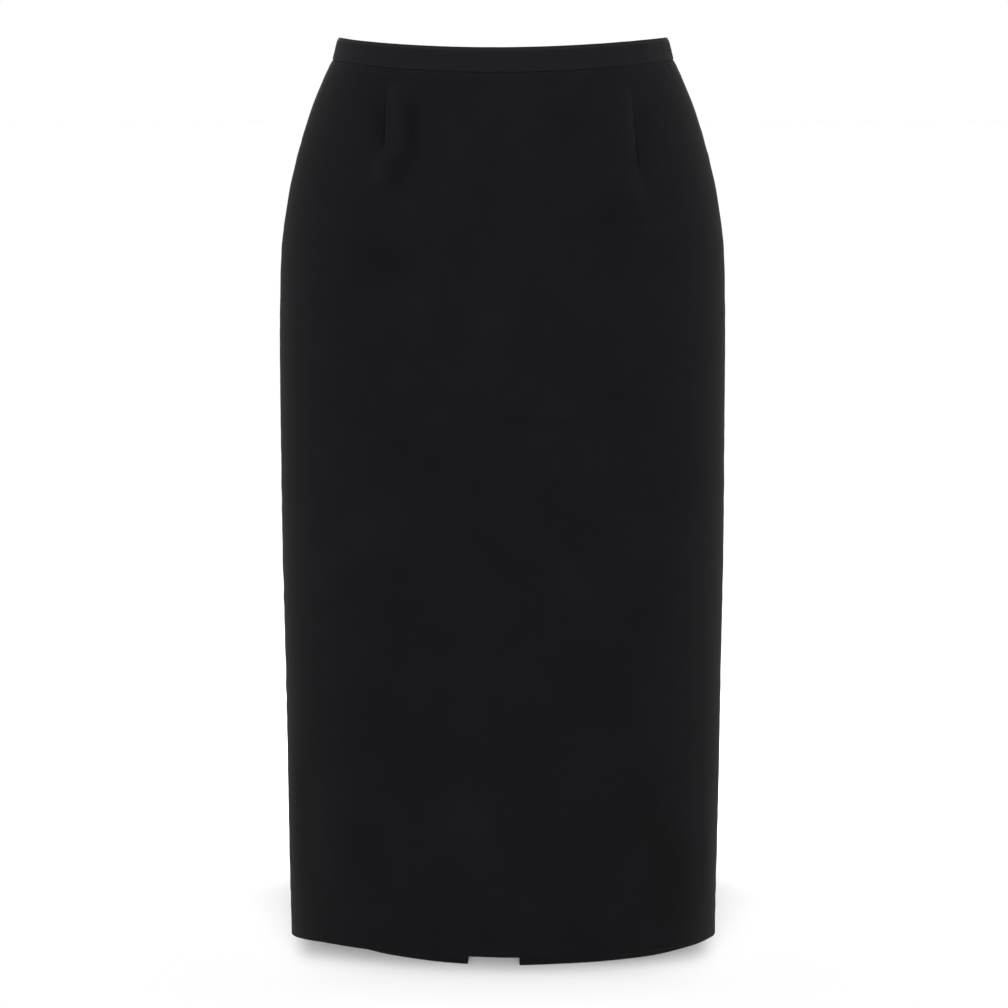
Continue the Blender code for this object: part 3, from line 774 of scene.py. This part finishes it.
zipper = {
    "topClearance": 1.5 * mm,
    "tapeInner": 1.4 * mm,
    "tapeOuter": 12 * mm,
    "tapeWall": 0.6 * mm,
    "tapeThick": 0.8 * mm,  # of the solid that stands for it
    "cord": (0.12 * mm, 0.8 * mm),  # by which its inner edge is thicker, and over what width
    "layerGap": 0.4 * mm,
    "clothWall": 1.5 * mm,  # the solid cloth behind which the tape lies
    "bandWall": 2.6 * mm,
    "ease": 15 * mm,
    "coilWire": 0.30 * mm,
    "coilPitch": 1.30 * mm,
    "coilWidth": 2.1 * mm,
    "coilDepth": 1.6 * mm,
    "coilLap": 0.3 * mm,  # by which its two halves reach past the middle
    "coilTop": 10 * mm,  # below the tapes' top, under the slider
}


def backHeight(share):
    # height of this share of the way down centre back
    top = waistSeam(np.pi)
    return top + (hemEdge(np.pi) - top) * share


def tapeInset(z):
    # behind the waistband, easing out to lie on the panels below it
    inBand = zipper["bandWall"] - band["proud"] + zipper["layerGap"]
    onPanel = zipper["clothWall"] + zipper["layerGap"]
    below = (waistSeam(np.pi) - z) / zipper["ease"]
    return inBand + (onPanel - inBand) * np.clip(below, 0, 1)


def tapeRelief(angle, z):
    # the tape follows the panels' unevenness, but is flat behind the waistband
    return relief(angle, z) * smooth((waistSeam(np.pi) - z) / 0.01)


def behindSeam(x, z, depth):
    # point this deep behind the tape's outer face at this x and height, and its normal
    x, z = np.broadcast_arrays(x, z)
    angle = angleAt(x, z, True)
    return clothPoint(angle, z, tapeRelief(angle, z) + tapeInset(z) + depth), outward(angle, z)


zipTop = waistEdge(np.pi) - zipper["topClearance"]
zipLow = backHeight(form["zipEnd"])


def zipTape(name, side):
    # a thin strip with a thicker corded edge beside the coil
    heights = np.linspace(zipTop - zipper["tapeWall"] / 2, zipLow + zipper["tapeWall"] / 2, 104)
    across = np.linspace(0, 1, 15)
    x = side * (zipper["tapeInner"] + (zipper["tapeOuter"] - zipper["tapeInner"]) * across)
    x, z = np.meshgrid(np.sort(x)[::-1], heights)
    angle = angleAt(x, z, True)
    extra, width = zipper["cord"]
    wall = zipper["tapeWall"] + extra * np.exp(-(((np.abs(x) - zipper["tapeInner"]) / width) ** 2))
    points = wallRows(angle, z, tapeRelief(angle, z) + tapeInset(z), wall, lowerRows=2)
    return closedWall(name, points, outerRows=len(heights), lowerRows=2)


def zipCoil():
    # two flattened spirals of stiff thread that mesh at the middle: x swings as cos and
    # the depth as sin while the height falls by one pitch each turn
    top = zipTop - zipper["coilTop"]
    low = zipLow + zipMetal["stop"][2]
    turns = int((top - low) / zipper["coilPitch"])
    t = np.linspace(0, turns, turns * 12 + 1)
    paths = []
    half, lap = zipper["coilWidth"] / 2, zipper["coilLap"]
    for side in (1, -1):
        x = side * (half - lap + (half + lap - zipper["coilWire"]) * np.cos(2 * np.pi * t))
        z = top - zipper["coilPitch"] * (t + 0.25 * side)
        swing = (zipper["coilDepth"] / 2 - zipper["coilWire"]) * np.sin(2 * np.pi * t)
        depth = zipper["tapeWall"] + zipper["layerGap"] + zipper["coilDepth"] / 2 + swing
        paths.append(behindSeam(x, z, depth))
    return tubes("zip_coil_teeth", paths, zipper["coilWire"], 6)


zipMetal = {
    "slider": (5.6 * mm, 3.2 * mm, 9.5 * mm),  # width, depth and height
    "sliderRounding": 0.9 * mm,
    "waist": 0.22,  # share of its width by which it narrows downwards
    "slot": (0.26, 0.35 * mm),  # where a tape runs in: depth over half width, and half its gap
    "neck": (1 * mm, 4 * mm),  # thickness and height, between the waistband's ends
    "neckSink": (0.4 * mm, 0.5 * mm),  # into the body and into the eyelet
    "eyelet": 2.4 * mm,
    "eyeletHole": 1.3 * mm,
    "standOff": 2.8 * mm,  # of the eyelet's middle from the waistband's outer face
    "stop": (5.2 * mm, 2.2 * mm, 6 * mm),
    "stopRounding": 0.8 * mm,
    "pullThickness": 1.2 * mm,
    "pullRounding": 0.55,  # of its edges, as a share of half its thickness
    "pullBar": 0.7 * mm,
    "pullCorner": 0.9 * mm,
    "pullTop": 2 * mm,
    "pullDrop": 20.5 * mm,
    "pullEnd": 3 * mm,
    "pullWindow": (0.95 * mm, 3.4 * mm),  # half width and lower end
    "pullLean": 0.09304,  # radians from upright
}


def superOval(count, halfWidth, halfHeight, power):
    # closed outline: cos and sin, each to the power 2 / n, keep their own signs
    turn = 2 * np.pi * np.arange(count) / count
    across, up = (np.sign(part) * np.abs(part) ** (2 / power)
                  for part in (np.cos(turn), np.sin(turn)))
    return halfWidth * across, halfHeight * up


def roundedEnds(halfLength, radius, between):
    # down the first axis, stations along a block and how much narrower it is at each: a
    # quarter circle of this radius at both ends, and even steps between
    turn = np.linspace(0, np.pi / 2, 5)
    end = halfLength - radius * (1 - np.sin(turn))
    shrink = radius * (1 - np.cos(turn))
    even = np.linspace(-end[0], end[0], between + 2)[1:-1]
    stations = np.concatenate((-end[::-1], even, end))
    return stations[:, None], np.concatenate((shrink[::-1], 0 * even, shrink))[:, None]


def sliderCentre():
    # at the tapes' top, deep enough to clear them and the waistband
    width, depth, height = zipMetal["slider"]
    z = zipTop - height / 2
    top = ringPoint(np.pi, zipTop)[1] + band["proud"]
    inset = zipper["bandWall"] + 2 * zipper["layerGap"] + zipper["tapeThick"]
    return np.array((0.0, top - inset - depth / 2, z))


def pullAxis():
    # middle of the eyelet, outside the waistband
    z = sliderCentre()[2]
    y = ringPoint(np.pi, z)[1] + band["proud"] + zipMetal["standOff"]
    return np.array((0.0, y, z))


def zipSlider():
    # body with waisted sides and slots where the tapes run in, a flat neck, and a ring
    width, depth, height = zipMetal["slider"]
    place, closer = roundedEnds(height / 2, zipMetal["sliderRounding"], 10)
    shoulders = 1 - zipMetal["waist"] * (1 - smooth(place / height + 0.6))
    x, y = superOval(48, width / 2 * shoulders - closer, depth / 2 - closer, 5)
    share, gap = zipMetal["slot"]
    # the slots stop short of its rounded ends
    x = x * (1 - share * np.exp(-((y / gap) ** 2)) * (closer < 0.5 * mm))
    body = loft("zip_slider_body", joined(x, y, place) + sliderCentre())

    axis = pullAxis()
    thick, tall = zipMetal["neck"]
    inner, outer = zipMetal["neckSink"]
    start = sliderCentre()[1] + depth / 2 - inner
    place = np.linspace(start, axis[1] - zipMetal["eyelet"] + outer, 9)[:, None]
    spread = 1 + 0.5 * smooth(1 - (place - start) / zipMetal["sliderRounding"])
    x, up = superOval(28, thick / 2 * spread, tall / 2 * (0.8 + 0.2 * spread), 4)
    neck = loft("zip_slider_neck", joined(x, place, up + axis[2]))

    middle = (zipMetal["eyelet"] + zipMetal["eyeletHole"]) / 2
    x, out = superOval(16, thick / 2, middle - zipMetal["eyeletHole"], 3)
    turn = 2 * np.pi * np.arange(40)[:, None] / 40
    rings = joined(x, (middle + out) * np.cos(turn), (middle + out) * np.sin(turn))
    eyelet = loft("zip_slider_eyelet", rings + axis, closed=True)
    return [body, neck, eyelet]


def pullEdges(count):
    # teardrop outline and its window, paired point for point round the tab
    drop, end, top = zipMetal["pullDrop"], zipMetal["pullEnd"], zipMetal["pullTop"]
    low = end - drop
    steps = np.linspace(0, 1, 400)
    # right side from the top bar down to the round end
    z = zipMetal["pullBar"] + (low - zipMetal["pullBar"]) * steps
    x = top + (end - top) * smooth(steps)
    arc = np.linspace(0, np.pi, 300)
    corner = joined(*superOval(400, top, zipMetal["pullCorner"], 4))
    corner = corner[(corner[:, 0] >= 0) & (corner[:, 1] >= 0)][::-1]
    right = np.concatenate((
        corner + (0, zipMetal["pullBar"] - zipMetal["pullCorner"]),
        np.column_stack((x, z))[60:],
        np.column_stack((end * np.cos(arc / 2), low - end * np.sin(arc / 2))),
    ))
    outline = np.concatenate((right, (right * (-1, 1))[::-1]))
    length = np.concatenate(([0], np.cumsum(np.linalg.norm(np.diff(outline, axis=0), axis=-1))))
    share = np.linspace(0, length[-1], count, endpoint=False)
    outer = np.column_stack([np.interp(share, length, outline[:, k]) for k in (0, 1)])
    half, bottom = zipMetal["pullWindow"]
    high = -zipMetal["pullBar"]
    centre = np.array((0, -(bottom - high) / 2))
    window = joined(*superOval(400, half, (bottom + high) / 2, 5)) + centre
    # each outline point takes the window point that lies in its direction
    way = np.arctan2(*(outer - centre).T)
    ways = np.arctan2(*(window - centre).T)
    order = np.argsort(ways)
    inner = np.column_stack([np.interp(way, ways[order], window[order, k], period=2 * np.pi)
                             for k in (0, 1)])
    return outer, inner


def zipPull():
    # flat tab: its section runs round the outline's edge, across one face to the window,
    # round the window's edge and back; both edges are rounded as half an ellipse
    outer, inner = pullEdges(120)
    away = (outer - inner) / np.linalg.norm(outer - inner, axis=-1, keepdims=True)
    half = zipMetal["pullThickness"] / 2
    rounding = zipMetal["pullRounding"] * half
    flat = rounding + 0.12 * mm
    turn = np.linspace(0, np.pi, 9)
    edge = rounding * (1 - np.sin(turn))
    shift = np.concatenate((-edge, (-flat, flat), edge, (flat, -flat)))
    depth = half * np.concatenate((-np.cos(turn), (1, 1), np.cos(turn), (-1, -1)))[:, None]
    atOutline = np.repeat([True, False, True], [10, 11, 1])
    face = np.where(atOutline[:, None, None], outer, inner) + away * shift[:, None, None]
    lean = zipMetal["pullLean"]
    back = depth * np.cos(lean) - face[..., 1] * np.sin(lean)
    up = depth * np.sin(lean) + face[..., 1] * np.cos(lean)
    return loft("zip_pull_tab", joined(face[..., 0], back, up) + pullAxis(), closed=True)


def zipStop():
    # a block across both tapes, square to them
    width, depth, height = zipMetal["stop"]
    place, closer = roundedEnds(height / 2, zipMetal["stopRounding"], 0)
    middle = zipLow + height / 2
    behind = zipper["tapeThick"] + zipper["layerGap"] + depth / 2
    point, normal = behindSeam(0.0, middle, behind)
    high, low = behindSeam(0.0, middle + height / 2 * np.array([1, -1]), 0.0)[0]
    up = (high - low) / np.linalg.norm(high - low)
    x, out = superOval(32, width / 2 - closer, depth / 2 - closer, 4)
    across = x[..., None] * (1, 0, 0) + out[..., None] * normal
    return loft("zip_stop_block", point + up * place[..., None] + across)


tapes = [zipTape("zip_tape_left_weave", 1), zipTape("zip_tape_right_weave", -1)]
coil = zipCoil()
sliderParts = zipSlider()
pull = zipPull()
stop = zipStop()
print("zip made")


# threads

thread = {
    "radius": 0.15 * mm,
    "sides": 4,
    "edgeMargin": 0.5 * mm,  # from a raw edge to the overlock's outer loops
    "overlockPitch": 2.6 * mm,
    "overlockWidth": 3.4 * mm,
    "stitch": 2.8 * mm,
    "hemStitch": 8 * mm,
    "hemStitchWidth": 4.6 * mm,
    "bandStitch": 6 * mm,
    "tapeStitchAt": 3.6 * mm,  # from centre back
    "rise": 0.6,  # share of its radius by which a thread's middle lies above the cloth
    # points of a stitch at the waistband's inner edge: along it, above the waist seam,
    # and behind the band's face or, for the last two, the panel's
    "bandAlong": mm * np.array([0, 0.5, 2.2, 3.0]),
    "bandUp": mm * np.array([1.9, 1.4, -1.5, -1.9]),
    "bandDepth": mm * np.array([-0.5, 0.1, 0.1, -0.3]),
    "bandRadius": 0.12,  # of the waist, which turns a length along it into an angle
    # left free at the ends of rows: radians at the tapes and at each seam along the hem,
    # metres at the top of a side seam and at other ends, and shares of the back's height
    # at the zip's end, the slit's start and the hem
    "tapeFree": 0.02,
    "hemFree": 0.03,
    "topFree": 1.5 * mm,
    "endFree": 2 * mm,
    "zipFree": 0.012,
    "slitFree": 0.004,
    "lowFree": 0.05,
    "hemCatch": 1.4 * mm,  # above the hem's raw edge, where its slack zigzag catches the cloth
}


def sew(name, rows):
    return tubes(name, rows, thread["radius"], thread["sides"])


def zigzag(length, pitch, width, perPitch=4):
    # along and across distances of a row that swings from one side to the other and
    # back in each pitch, as a triangle wave
    step = np.arange(int(length / pitch) * perPitch + 1) / perPitch
    return step * pitch, width * (1 - np.abs(1 - 2 * (step % 1)))


def needleLine(length, pitch):
    # along distances and lifts of a straight row: each stitch arches as sin and dips
    # into the cloth at its ends
    step = np.arange(int(length / pitch) * 4 + 1) / 4
    return step * pitch, thread["radius"] * (1.5 * np.abs(np.sin(np.pi * step)) - 1.2)


def onInside(angle, z, lift):
    # point on the cloth's inner face, its thread lifted off it, and the way it faces
    depth = relief(angle, z) + wallThickness(angle, z) + thread["rise"] * thread["radius"] + lift
    return clothPoint(angle, z, depth), -outward(angle, z)


def edgeRows(place, length, edge):
    # an overlocked raw edge: a zigzag inside the edge and the needle's row beside it.
    # place turns a distance along and a distance from the seam into angle and height
    along, across = zigzag(length, thread["overlockPitch"], thread["overlockWidth"])
    rows = [onInside(*place(along, edge - thread["edgeMargin"] - across), 0.0)]
    along, lift = needleLine(length, thread["stitch"])
    across = edge - thread["edgeMargin"] - thread["overlockWidth"]
    return rows + [onInside(*place(along, across), lift)]


def sideEdge(side, back):
    # down a side seam's allowance on the front or the back panel
    top = waistSeam(sideSeam) - thread["topFree"]
    length = top - hemEdge(sideSeam) - cloth["hemTurnUp"] - thread["endFree"]

    def place(along, across):
        z = top - along
        turn = sideSeam + (1 if back else -1) * across / sectionSize("backDepth", z)
        return (2 * np.pi - turn if back and side < 0 else side * turn), z

    return edgeRows(place, length, cloth["seamAllowance"])


def centreEdge(side, share, endShare, edge):
    # down centre back, from one share of the panel's height to another
    top, low = backHeight(share), backHeight(endShare)

    def place(along, across):
        z = top - along
        middle, half, opened = centreBack(z)
        return angleAt(middle + side * (half + across), z, True), z

    return edgeRows(place, top - low, edge)


def hemRows(start, end):
    # round the turned-up hem's raw edge, with the slack zigzag that catches it to the
    # cloth above
    length = girthTo(end) - girthTo(start)

    def place(along, across):
        angle = start + (end - start) * along / length
        return angle, hemEdge(angle) + across

    rows = edgeRows(place, length, cloth["hemTurnUp"])
    along, across = zigzag(length, thread["hemStitch"], thread["hemStitchWidth"], 10)
    angle, z = place(along, cloth["hemTurnUp"] + thread["hemCatch"] - across)
    rows.append(onInside(angle, z, thread["radius"]))
    return rows


def tapeThread(name, side):
    # the row that sews a tape to its panel
    along, lift = needleLine(zipTop - zipLow - 2 * thread["endFree"], thread["stitch"])
    z = zipTop - thread["endFree"] - along
    depth = zipper["tapeWall"] + thread["rise"] * thread["radius"] + lift
    point, normal = behindSeam(side * thread["tapeStitchAt"], z, depth)
    return sew(name, [(point, -normal)])


def bandStitches():
    # slanted stitches that fell the waistband's inner edge to the panels; each rises out
    # of the band, crosses its edge and sinks into the cloth
    clear = zipper["tapeOuter"] / sectionSize("backDepth", waistSeam(np.pi)) + thread["tapeFree"]
    count = int(girthTo(2 * np.pi) / thread["bandStitch"])
    start = np.linspace(clear - np.pi, np.pi - clear, count)[:, None]
    angle = start + thread["bandAlong"] / thread["bandRadius"]
    z = waistSeam(angle) + thread["bandUp"]
    depth = relief(angle, z) + wallThickness(angle, z)
    depth[:, :2] = band["wall"] - band["proud"]
    paths = zip(clothPoint(angle, z, depth + thread["bandDepth"]), -outward(angle, z))
    return sew("waistband_thread", paths)


def panelThreads():
    # the raw edges of each panel, its hem, and on the backs the turned-in slit
    free = thread["hemFree"]
    rows = sideEdge(1, False) + sideEdge(-1, False) + hemRows(free - sideSeam, sideSeam - free)
    made = {"front_panel_thread": sew("front_panel_thread", rows)}
    zipEnd, slitStart = form["zipEnd"] + thread["zipFree"], form["slitStart"]
    gap, low = thread["slitFree"], 1 - thread["lowFree"]
    for name, side in (("back_panel_left_thread", 1), ("back_panel_right_thread", -1)):
        rows = sideEdge(side, True)
        rows += centreEdge(side, zipEnd, slitStart - gap, cloth["seamAllowance"])
        rows += centreEdge(side, slitStart + gap, low, cloth["slitTurnIn"])
        middle, half, opened = centreBack(hemEdge(np.pi) + cloth["hemTurnUp"])
        across = half + cloth["slitTurnIn"] + 1 * mm
        slitEdge = angleAt(middle + side * across, hemEdge(np.pi), True)
        ends = (sideSeam + free, slitEdge) if side > 0 else (slitEdge, 2 * np.pi - sideSeam - free)
        made[name] = sew(name, rows + hemRows(*ends))
    return made


threads = panelThreads()
threads["waistband_thread"] = bandStitches()
for name, side in (("zip_tape_left_thread", 1), ("zip_tape_right_thread", -1)):
    threads[name] = tapeThread(name, side)
print("threads sewn")


# bodies: each piece joins the skirt's body, the pull tab its own, and the part of the frame it
# stands for is hidden

for piece, node, slot in (
    (front, "front_panel", "crepe"),
    (backLeft, "back_panel_left", "crepe"),
    (backRight, "back_panel_right", "crepe"),
    (bandCloth, "waistband", "crepe"),
    (tapes[0], "zip_tape_left", "zip_tape"),
    (tapes[1], "zip_tape_right", "zip_tape"),
    (coil, "zip_coil", "zip_coil"),
):
    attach(piece, "skirt")
    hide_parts(node)
for piece in threads.values():
    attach(piece, "skirt")
for piece in sliderParts:
    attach(piece, "skirt")
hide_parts("zip_slider")
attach(stop, "skirt")
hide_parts("zip_stop")
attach(pull, "pull")
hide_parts("zip_pull")


# materials

def linear(hexCode):
    # sRGB hex to linear colour
    value = np.array([int(hexCode[k:k + 2], 16) for k in (1, 3, 5)]) / 255
    value = np.where(value <= 0.04045, value / 12.92, ((value + 0.055) / 1.055) ** 2.4)
    return (*value.tolist(), 1.0)


def wire(node, settings, links):
    # properties and input values set, and inputs linked
    for name, value in settings.items():
        if isinstance(name, int) or (name in node.inputs and not hasattr(node, name)):
            node.inputs[name].default_value = value
        else:
            setattr(node, name, value)
    for name, source in links.items():
        node.id_data.links.new(source, node.inputs[name])
    return node


def addNode(tree, kind, settings, links):
    return wire(tree.nodes.new("ShaderNode" + kind), settings, links)


def newMaterial(name, roughness, specular):
    material = bpy.data.materials.new(name)
    material.use_nodes = True
    shader = material.node_tree.nodes["Principled BSDF"]
    wire(shader, {"Roughness": roughness, "Specular IOR Level": specular}, {})
    return material, material.node_tree, shader


crepe = {
    "dark": "#0a0a0c",
    "light": "#131315",
    # hollow is the colour of painted shade in folds, darts and the hem fold; inside is the inner
    # face painted paler, a painted fill light, partly the cloth's paler wrong side
    "hollow": "#060607",
    "inside": "#1e1e21",
    "bandDark": "#121214",
    "bandLight": "#151517",
    "cloud": 72 * mm,  # patches where the dye took a little unevenly
    "fleck": 17 * mm,
    "grain": 1.2 * mm,  # the pebbles, three times as coarse as real ones
    "fullShadeDepth": 3.0,  # mm of a fold's or dart's depth at which the painted shade reaches its full colour
    "sheen": 0.028,
}


def crepeMaterial(name, dark, light):
    # viscose crepe: hard-twisted yarns in a plain weave that pull up when it is washed,
    # then dyed black in the piece. So it is pebbled and matt, hardly shines, and its fine
    # fuzz pales a little where it turns away
    material, tree, shader = newMaterial(name, 0.85, 0.04)
    place = {"Vector": addNode(tree, "UVMap", {"uv_map": "cloth"}, {}).outputs["UV"]}
    cloud = addNode(tree, "TexNoise", {"Scale": 1 / crepe["cloud"], "Detail": 1.0}, place)
    spots = {"Scale": 1 / crepe["fleck"], "Detail": 3.0, "Roughness": 0.7}
    fleck = addNode(tree, "TexNoise", spots, place)
    grain = addNode(tree, "TexNoise", {"Scale": 1 / crepe["grain"], "Detail": 1.0}, place)
    both = addNode(tree, "Mix", {0: 0.55}, {2: cloud.outputs["Fac"], 3: fleck.outputs["Fac"]})
    colours = {"data_type": "RGBA", 6: linear(dark), 7: linear(light)}
    dyed = addNode(tree, "Mix", colours, {0: both.outputs[0]})
    # painted shade: the hollow attribute, the depth of folds and darts, mixes the colour towards
    # the hollow colour, and below zero towards lighter, a painted highlight on ridges and along
    # the waistband's fold
    deep = addNode(tree, "Attribute", {"attribute_name": "hollow"}, {}).outputs["Fac"]
    reach = {"From Max": crepe["fullShadeDepth"], "clamp": False}
    share = addNode(tree, "MapRange", reach, {"Value": deep}).outputs["Result"]
    colours = {"data_type": "RGBA", "clamp_factor": False, 7: linear(crepe["hollow"])}
    shaded = addNode(tree, "Mix", colours, {0: share, 6: dyed.outputs[2]})
    # painted fill light: the inner face is mixed towards the paler inside colour, partly the
    # cloth's paler wrong side
    paintedFillMask = addNode(tree, "Attribute", {"attribute_name": "inside"}, {}).outputs["Fac"]
    colours = {"data_type": "RGBA", 7: linear(crepe["inside"])}
    sided = addNode(tree, "Mix", colours, {0: paintedFillMask, 6: shaded.outputs[2]})
    pebbles = {"Strength": 0.2, "Distance": 0.1 * mm}
    bump = addNode(tree, "Bump", pebbles, {"Height": grain.outputs["Fac"]})
    wire(shader, {"Sheen Weight": crepe["sheen"], "Sheen Roughness": 0.45},
         {"Base Color": sided.outputs[2], "Normal": bump.outputs["Normal"]})
    return material


# ribs twice as coarse as real ones; a wave of scale 1 has one every 0.314 m
tapeLook = {"dark": "#0b0b0d", "light": "#131315", "scale": 0.314 / (0.9 * mm)}


def tapeMaterial():
    # woven polyester tape: bright filament yarn in a narrow twill, dyed black, so it has
    # fine slanting ribs and a low satin glint
    material, tree, shader = newMaterial("polyester tape, woven twill, dyed black", 0.55, 0.25)
    place = addNode(tree, "UVMap", {"uv_map": "cloth"}, {}).outputs["UV"]
    slant = {"bands_direction": "DIAGONAL", "Scale": tapeLook["scale"]}
    ribs = addNode(tree, "TexWave", slant, {"Vector": place}).outputs["Fac"]
    colours = {"data_type": "RGBA", 6: linear(tapeLook["dark"]), 7: linear(tapeLook["light"])}
    mix = addNode(tree, "Mix", colours, {0: ribs})
    bump = addNode(tree, "Bump", {"Strength": 0.5, "Distance": 0.08 * mm}, {"Height": ribs})
    wire(shader, {}, {"Base Color": mix.outputs[2], "Normal": bump.outputs["Normal"]})
    return material


def smoothMaterial(name, colour, change, spots, roughness, specular):
    # a plain finish whose colour wanders a little over spots of this size
    material, tree, shader = newMaterial(name, roughness, specular)
    place = {"Vector": addNode(tree, "TexCoord", {}, {}).outputs["Object"]}
    cloud = addNode(tree, "TexNoise", {"Scale": 1 / spots, "Detail": 2.0}, place)
    colours = {"data_type": "RGBA", 6: linear(colour), 7: linear(change)}
    mix = addNode(tree, "Mix", colours, {0: cloud.outputs["Fac"]})
    wire(shader, {}, {"Base Color": mix.outputs[2]})
    return material


crepeCloth = crepeMaterial("viscose crepe, woven and piece dyed black",
                           crepe["dark"], crepe["light"])
# the same crepe on the waistband, which is fused to a stiff backing; its colour is a shade more
# even and paler
bandCrepe = crepeMaterial("viscose crepe, fused waistband", crepe["bandDark"], crepe["bandLight"])
tapeWeave = tapeMaterial()
# nylon monofilament, drawn, coiled hot and set: glassy black with small clean highlights
nylon = smoothMaterial("nylon monofilament coil, dyed black",
                       "#0a0a0b", "#121213", 1.1 * mm, 0.35, 0.45)
# zinc alloy, die cast, tumbled and stove enamelled: soft-edged satin black
enamel = smoothMaterial("zinc die casting, satin black enamel",
                        "#09090a", "#0f0f10", 2.5 * mm, 0.45, 0.30)
# spun polyester sewing thread, three ply: matt with short fibres
threadYarn = smoothMaterial("spun polyester sewing thread, black",
                            "#0f0f11", "#1a1a1c", 0.7 * mm, 0.80, 0.12)

for material, pieces in (
    (crepeCloth, (front, backLeft, backRight)),
    (bandCrepe, (bandCloth,)),
    (tapeWeave, tapes),
    (nylon, (coil,)),
    (enamel, (*sliderParts, pull, stop)),
    (threadYarn, threads.values()),
):
    for piece in pieces:
        piece.data.materials.append(material)
print("materials made")


# floor, light and camera

studio = {
    "floorColour": 0.55,
    "floorSize": 80.0,
    "lowestHem": -0.7565,  # height of the cloth's lowest point
    "floorDrop": 1.2 * mm,  # under the lowest hem
    # for the floor alone, a column of lights in front: elevation and width in degrees, and
    # share of its light. Each elevation reaches a different depth under the hem, so the
    # shadow pales evenly towards the front; the widest one spreads it beside the hem too
    "floorSuns": ((5, 9.6, 0.455), (6.8, 3, 0.13), (9, 3.5, 0.185), (12, 5, 0.105),
                  (20, 14, 0.035)),
    "viewDistance": 7.0,
    "viewElevation": 3.0,
    "viewAim": (0.0008, 0.0, -0.373),
    "lens": 312.5,
}


def stageFloor():
    # matt vinyl roll: a smooth calendered sheet that throws light back evenly, no shine
    size, colour = studio["floorSize"], studio["floorColour"]
    low = min(cadBox[0].z, studio["lowestHem"]) - studio["floorDrop"]
    corners = size * np.array([(-1, -1, 0), (1, -1, 0), (1, 1, 0), (-1, 1, 0)]) + (0, 0, low)
    floor = makeMesh("floor", corners, [np.array([[0, 1, 2, 3]])])
    material, tree, shader = newMaterial("matt white vinyl floor", 1.0, 0.0)
    wire(shader, {"Base Color": (colour, colour, colour, 1)}, {})
    floor.data.materials.append(material)
    return floor


def aimed(name, data, place, target):
    # a light or camera at this place, turned to look at the target
    piece = bpy.data.objects.new(name, data)
    bpy.context.scene.collection.objects.link(piece)
    piece.location = place
    piece.rotation_euler = (Vector(target) - Vector(place)).to_track_quat("-Z", "Y").to_euler()
    return piece


def lamp(name, kind, place, target, power, **settings):
    light = bpy.data.lights.new(name, kind)
    light.energy = power
    for key, value in settings.items():
        setattr(light, key, value)
    piece = aimed(name, light, place, target)
    piece.visible_camera = False
    return piece


def lightsOnly(light, piece, state):
    # the light reaches this piece alone, or everything but it
    group = bpy.data.collections.new(light.name + " group")
    group.objects.link(piece)
    group.collection_objects[0].light_linking.link_state = state
    light.light_linking.receiver_collection = group


floor = stageFloor()
world = bpy.data.worlds.new("studio")
bpy.context.scene.world = world
world.use_nodes = True
sky = world.node_tree
way = addNode(sky, "TexCoord", {}, {}).outputs["Generated"]
upward = addNode(sky, "SeparateXYZ", {}, {"Vector": way}).outputs["Z"]
# white round the horizon, easing to a dim grey overhead
easing = {"interpolation_type": "SMOOTHSTEP", "From Min": 0.05, "From Max": 0.45,
          "To Min": 1.0, "To Max": 0.12}
shade = addNode(sky, "MapRange", easing, {"Value": upward}).outputs["Result"]
wire(sky.nodes["Background"], {"Color": (1, 1, 1, 1)}, {"Strength": shade})

softboxes = [
    lamp("key softbox, left", "AREA", (-2.55, -1.05, 1.3), (0, 0, -0.30), 76, size=0.9),
    lamp("fill softbox, right", "AREA", (2.55, -1.05, 1.2), (0, 0, -0.30), 73, size=1.0),
    lamp("top softbox", "AREA", (0, -1.0, 2.0), (0, -0.1, 0), 22, size=0.8),
    lamp("floor strip", "AREA", (0, -1.6, -0.68), (0, 0, -0.68), 5.2,
         shape="RECTANGLE", size=1.2, size_y=0.13),
    lamp("rim strip, left", "AREA", (-1.00, 0.72, 0.75), (0, 0, -0.1), 3.8, size=0.5),
    lamp("rim strip, right", "AREA", (1.85, 1.35, 0.3), (0, 0, -0.3), 8, size=0.8),
    lamp("back softbox", "AREA", (0, 2.6, 1.2), (0, 0, -0.35), 115, size=1.2),
]
for light in softboxes:
    lightsOnly(light, floor, "EXCLUDE")
# a pool on the floor behind the skirt, where the lights in front leave its shadow
pool = lamp("floor pool", "SPOT", (0, 1.5, 2.1), (0, 3.49, -0.757), 760,
            spot_size=np.radians(102), spot_blend=0.6)
lightsOnly(pool, floor, "INCLUDE")
for elevation, wide, share in studio["floorSuns"]:
    rise = np.radians(elevation)
    target = (0, -5 + np.cos(rise), 1 - np.sin(rise))
    # a sun this low lights the floor by the sine of its elevation
    power = share * np.pi / (studio["floorColour"] * np.sin(rise))
    light = lamp("floor light", "SUN", (0, -5, 1), target, power, angle=np.radians(wide))
    lightsOnly(light, floor, "INCLUDE")

aim, rise = Vector(studio["viewAim"]), np.radians(studio["viewElevation"])
place = aim + studio["viewDistance"] * Vector((0, -np.cos(rise), np.sin(rise)))
camera = aimed("camera", bpy.data.cameras.new("camera"), place, aim)
camera.data.lens = studio["lens"]
camera.data.sensor_width = 36
camera.data.clip_end = 500
bpy.context.scene.camera = camera
bpy.context.scene.view_settings.view_transform = "Standard"
print("studio set")
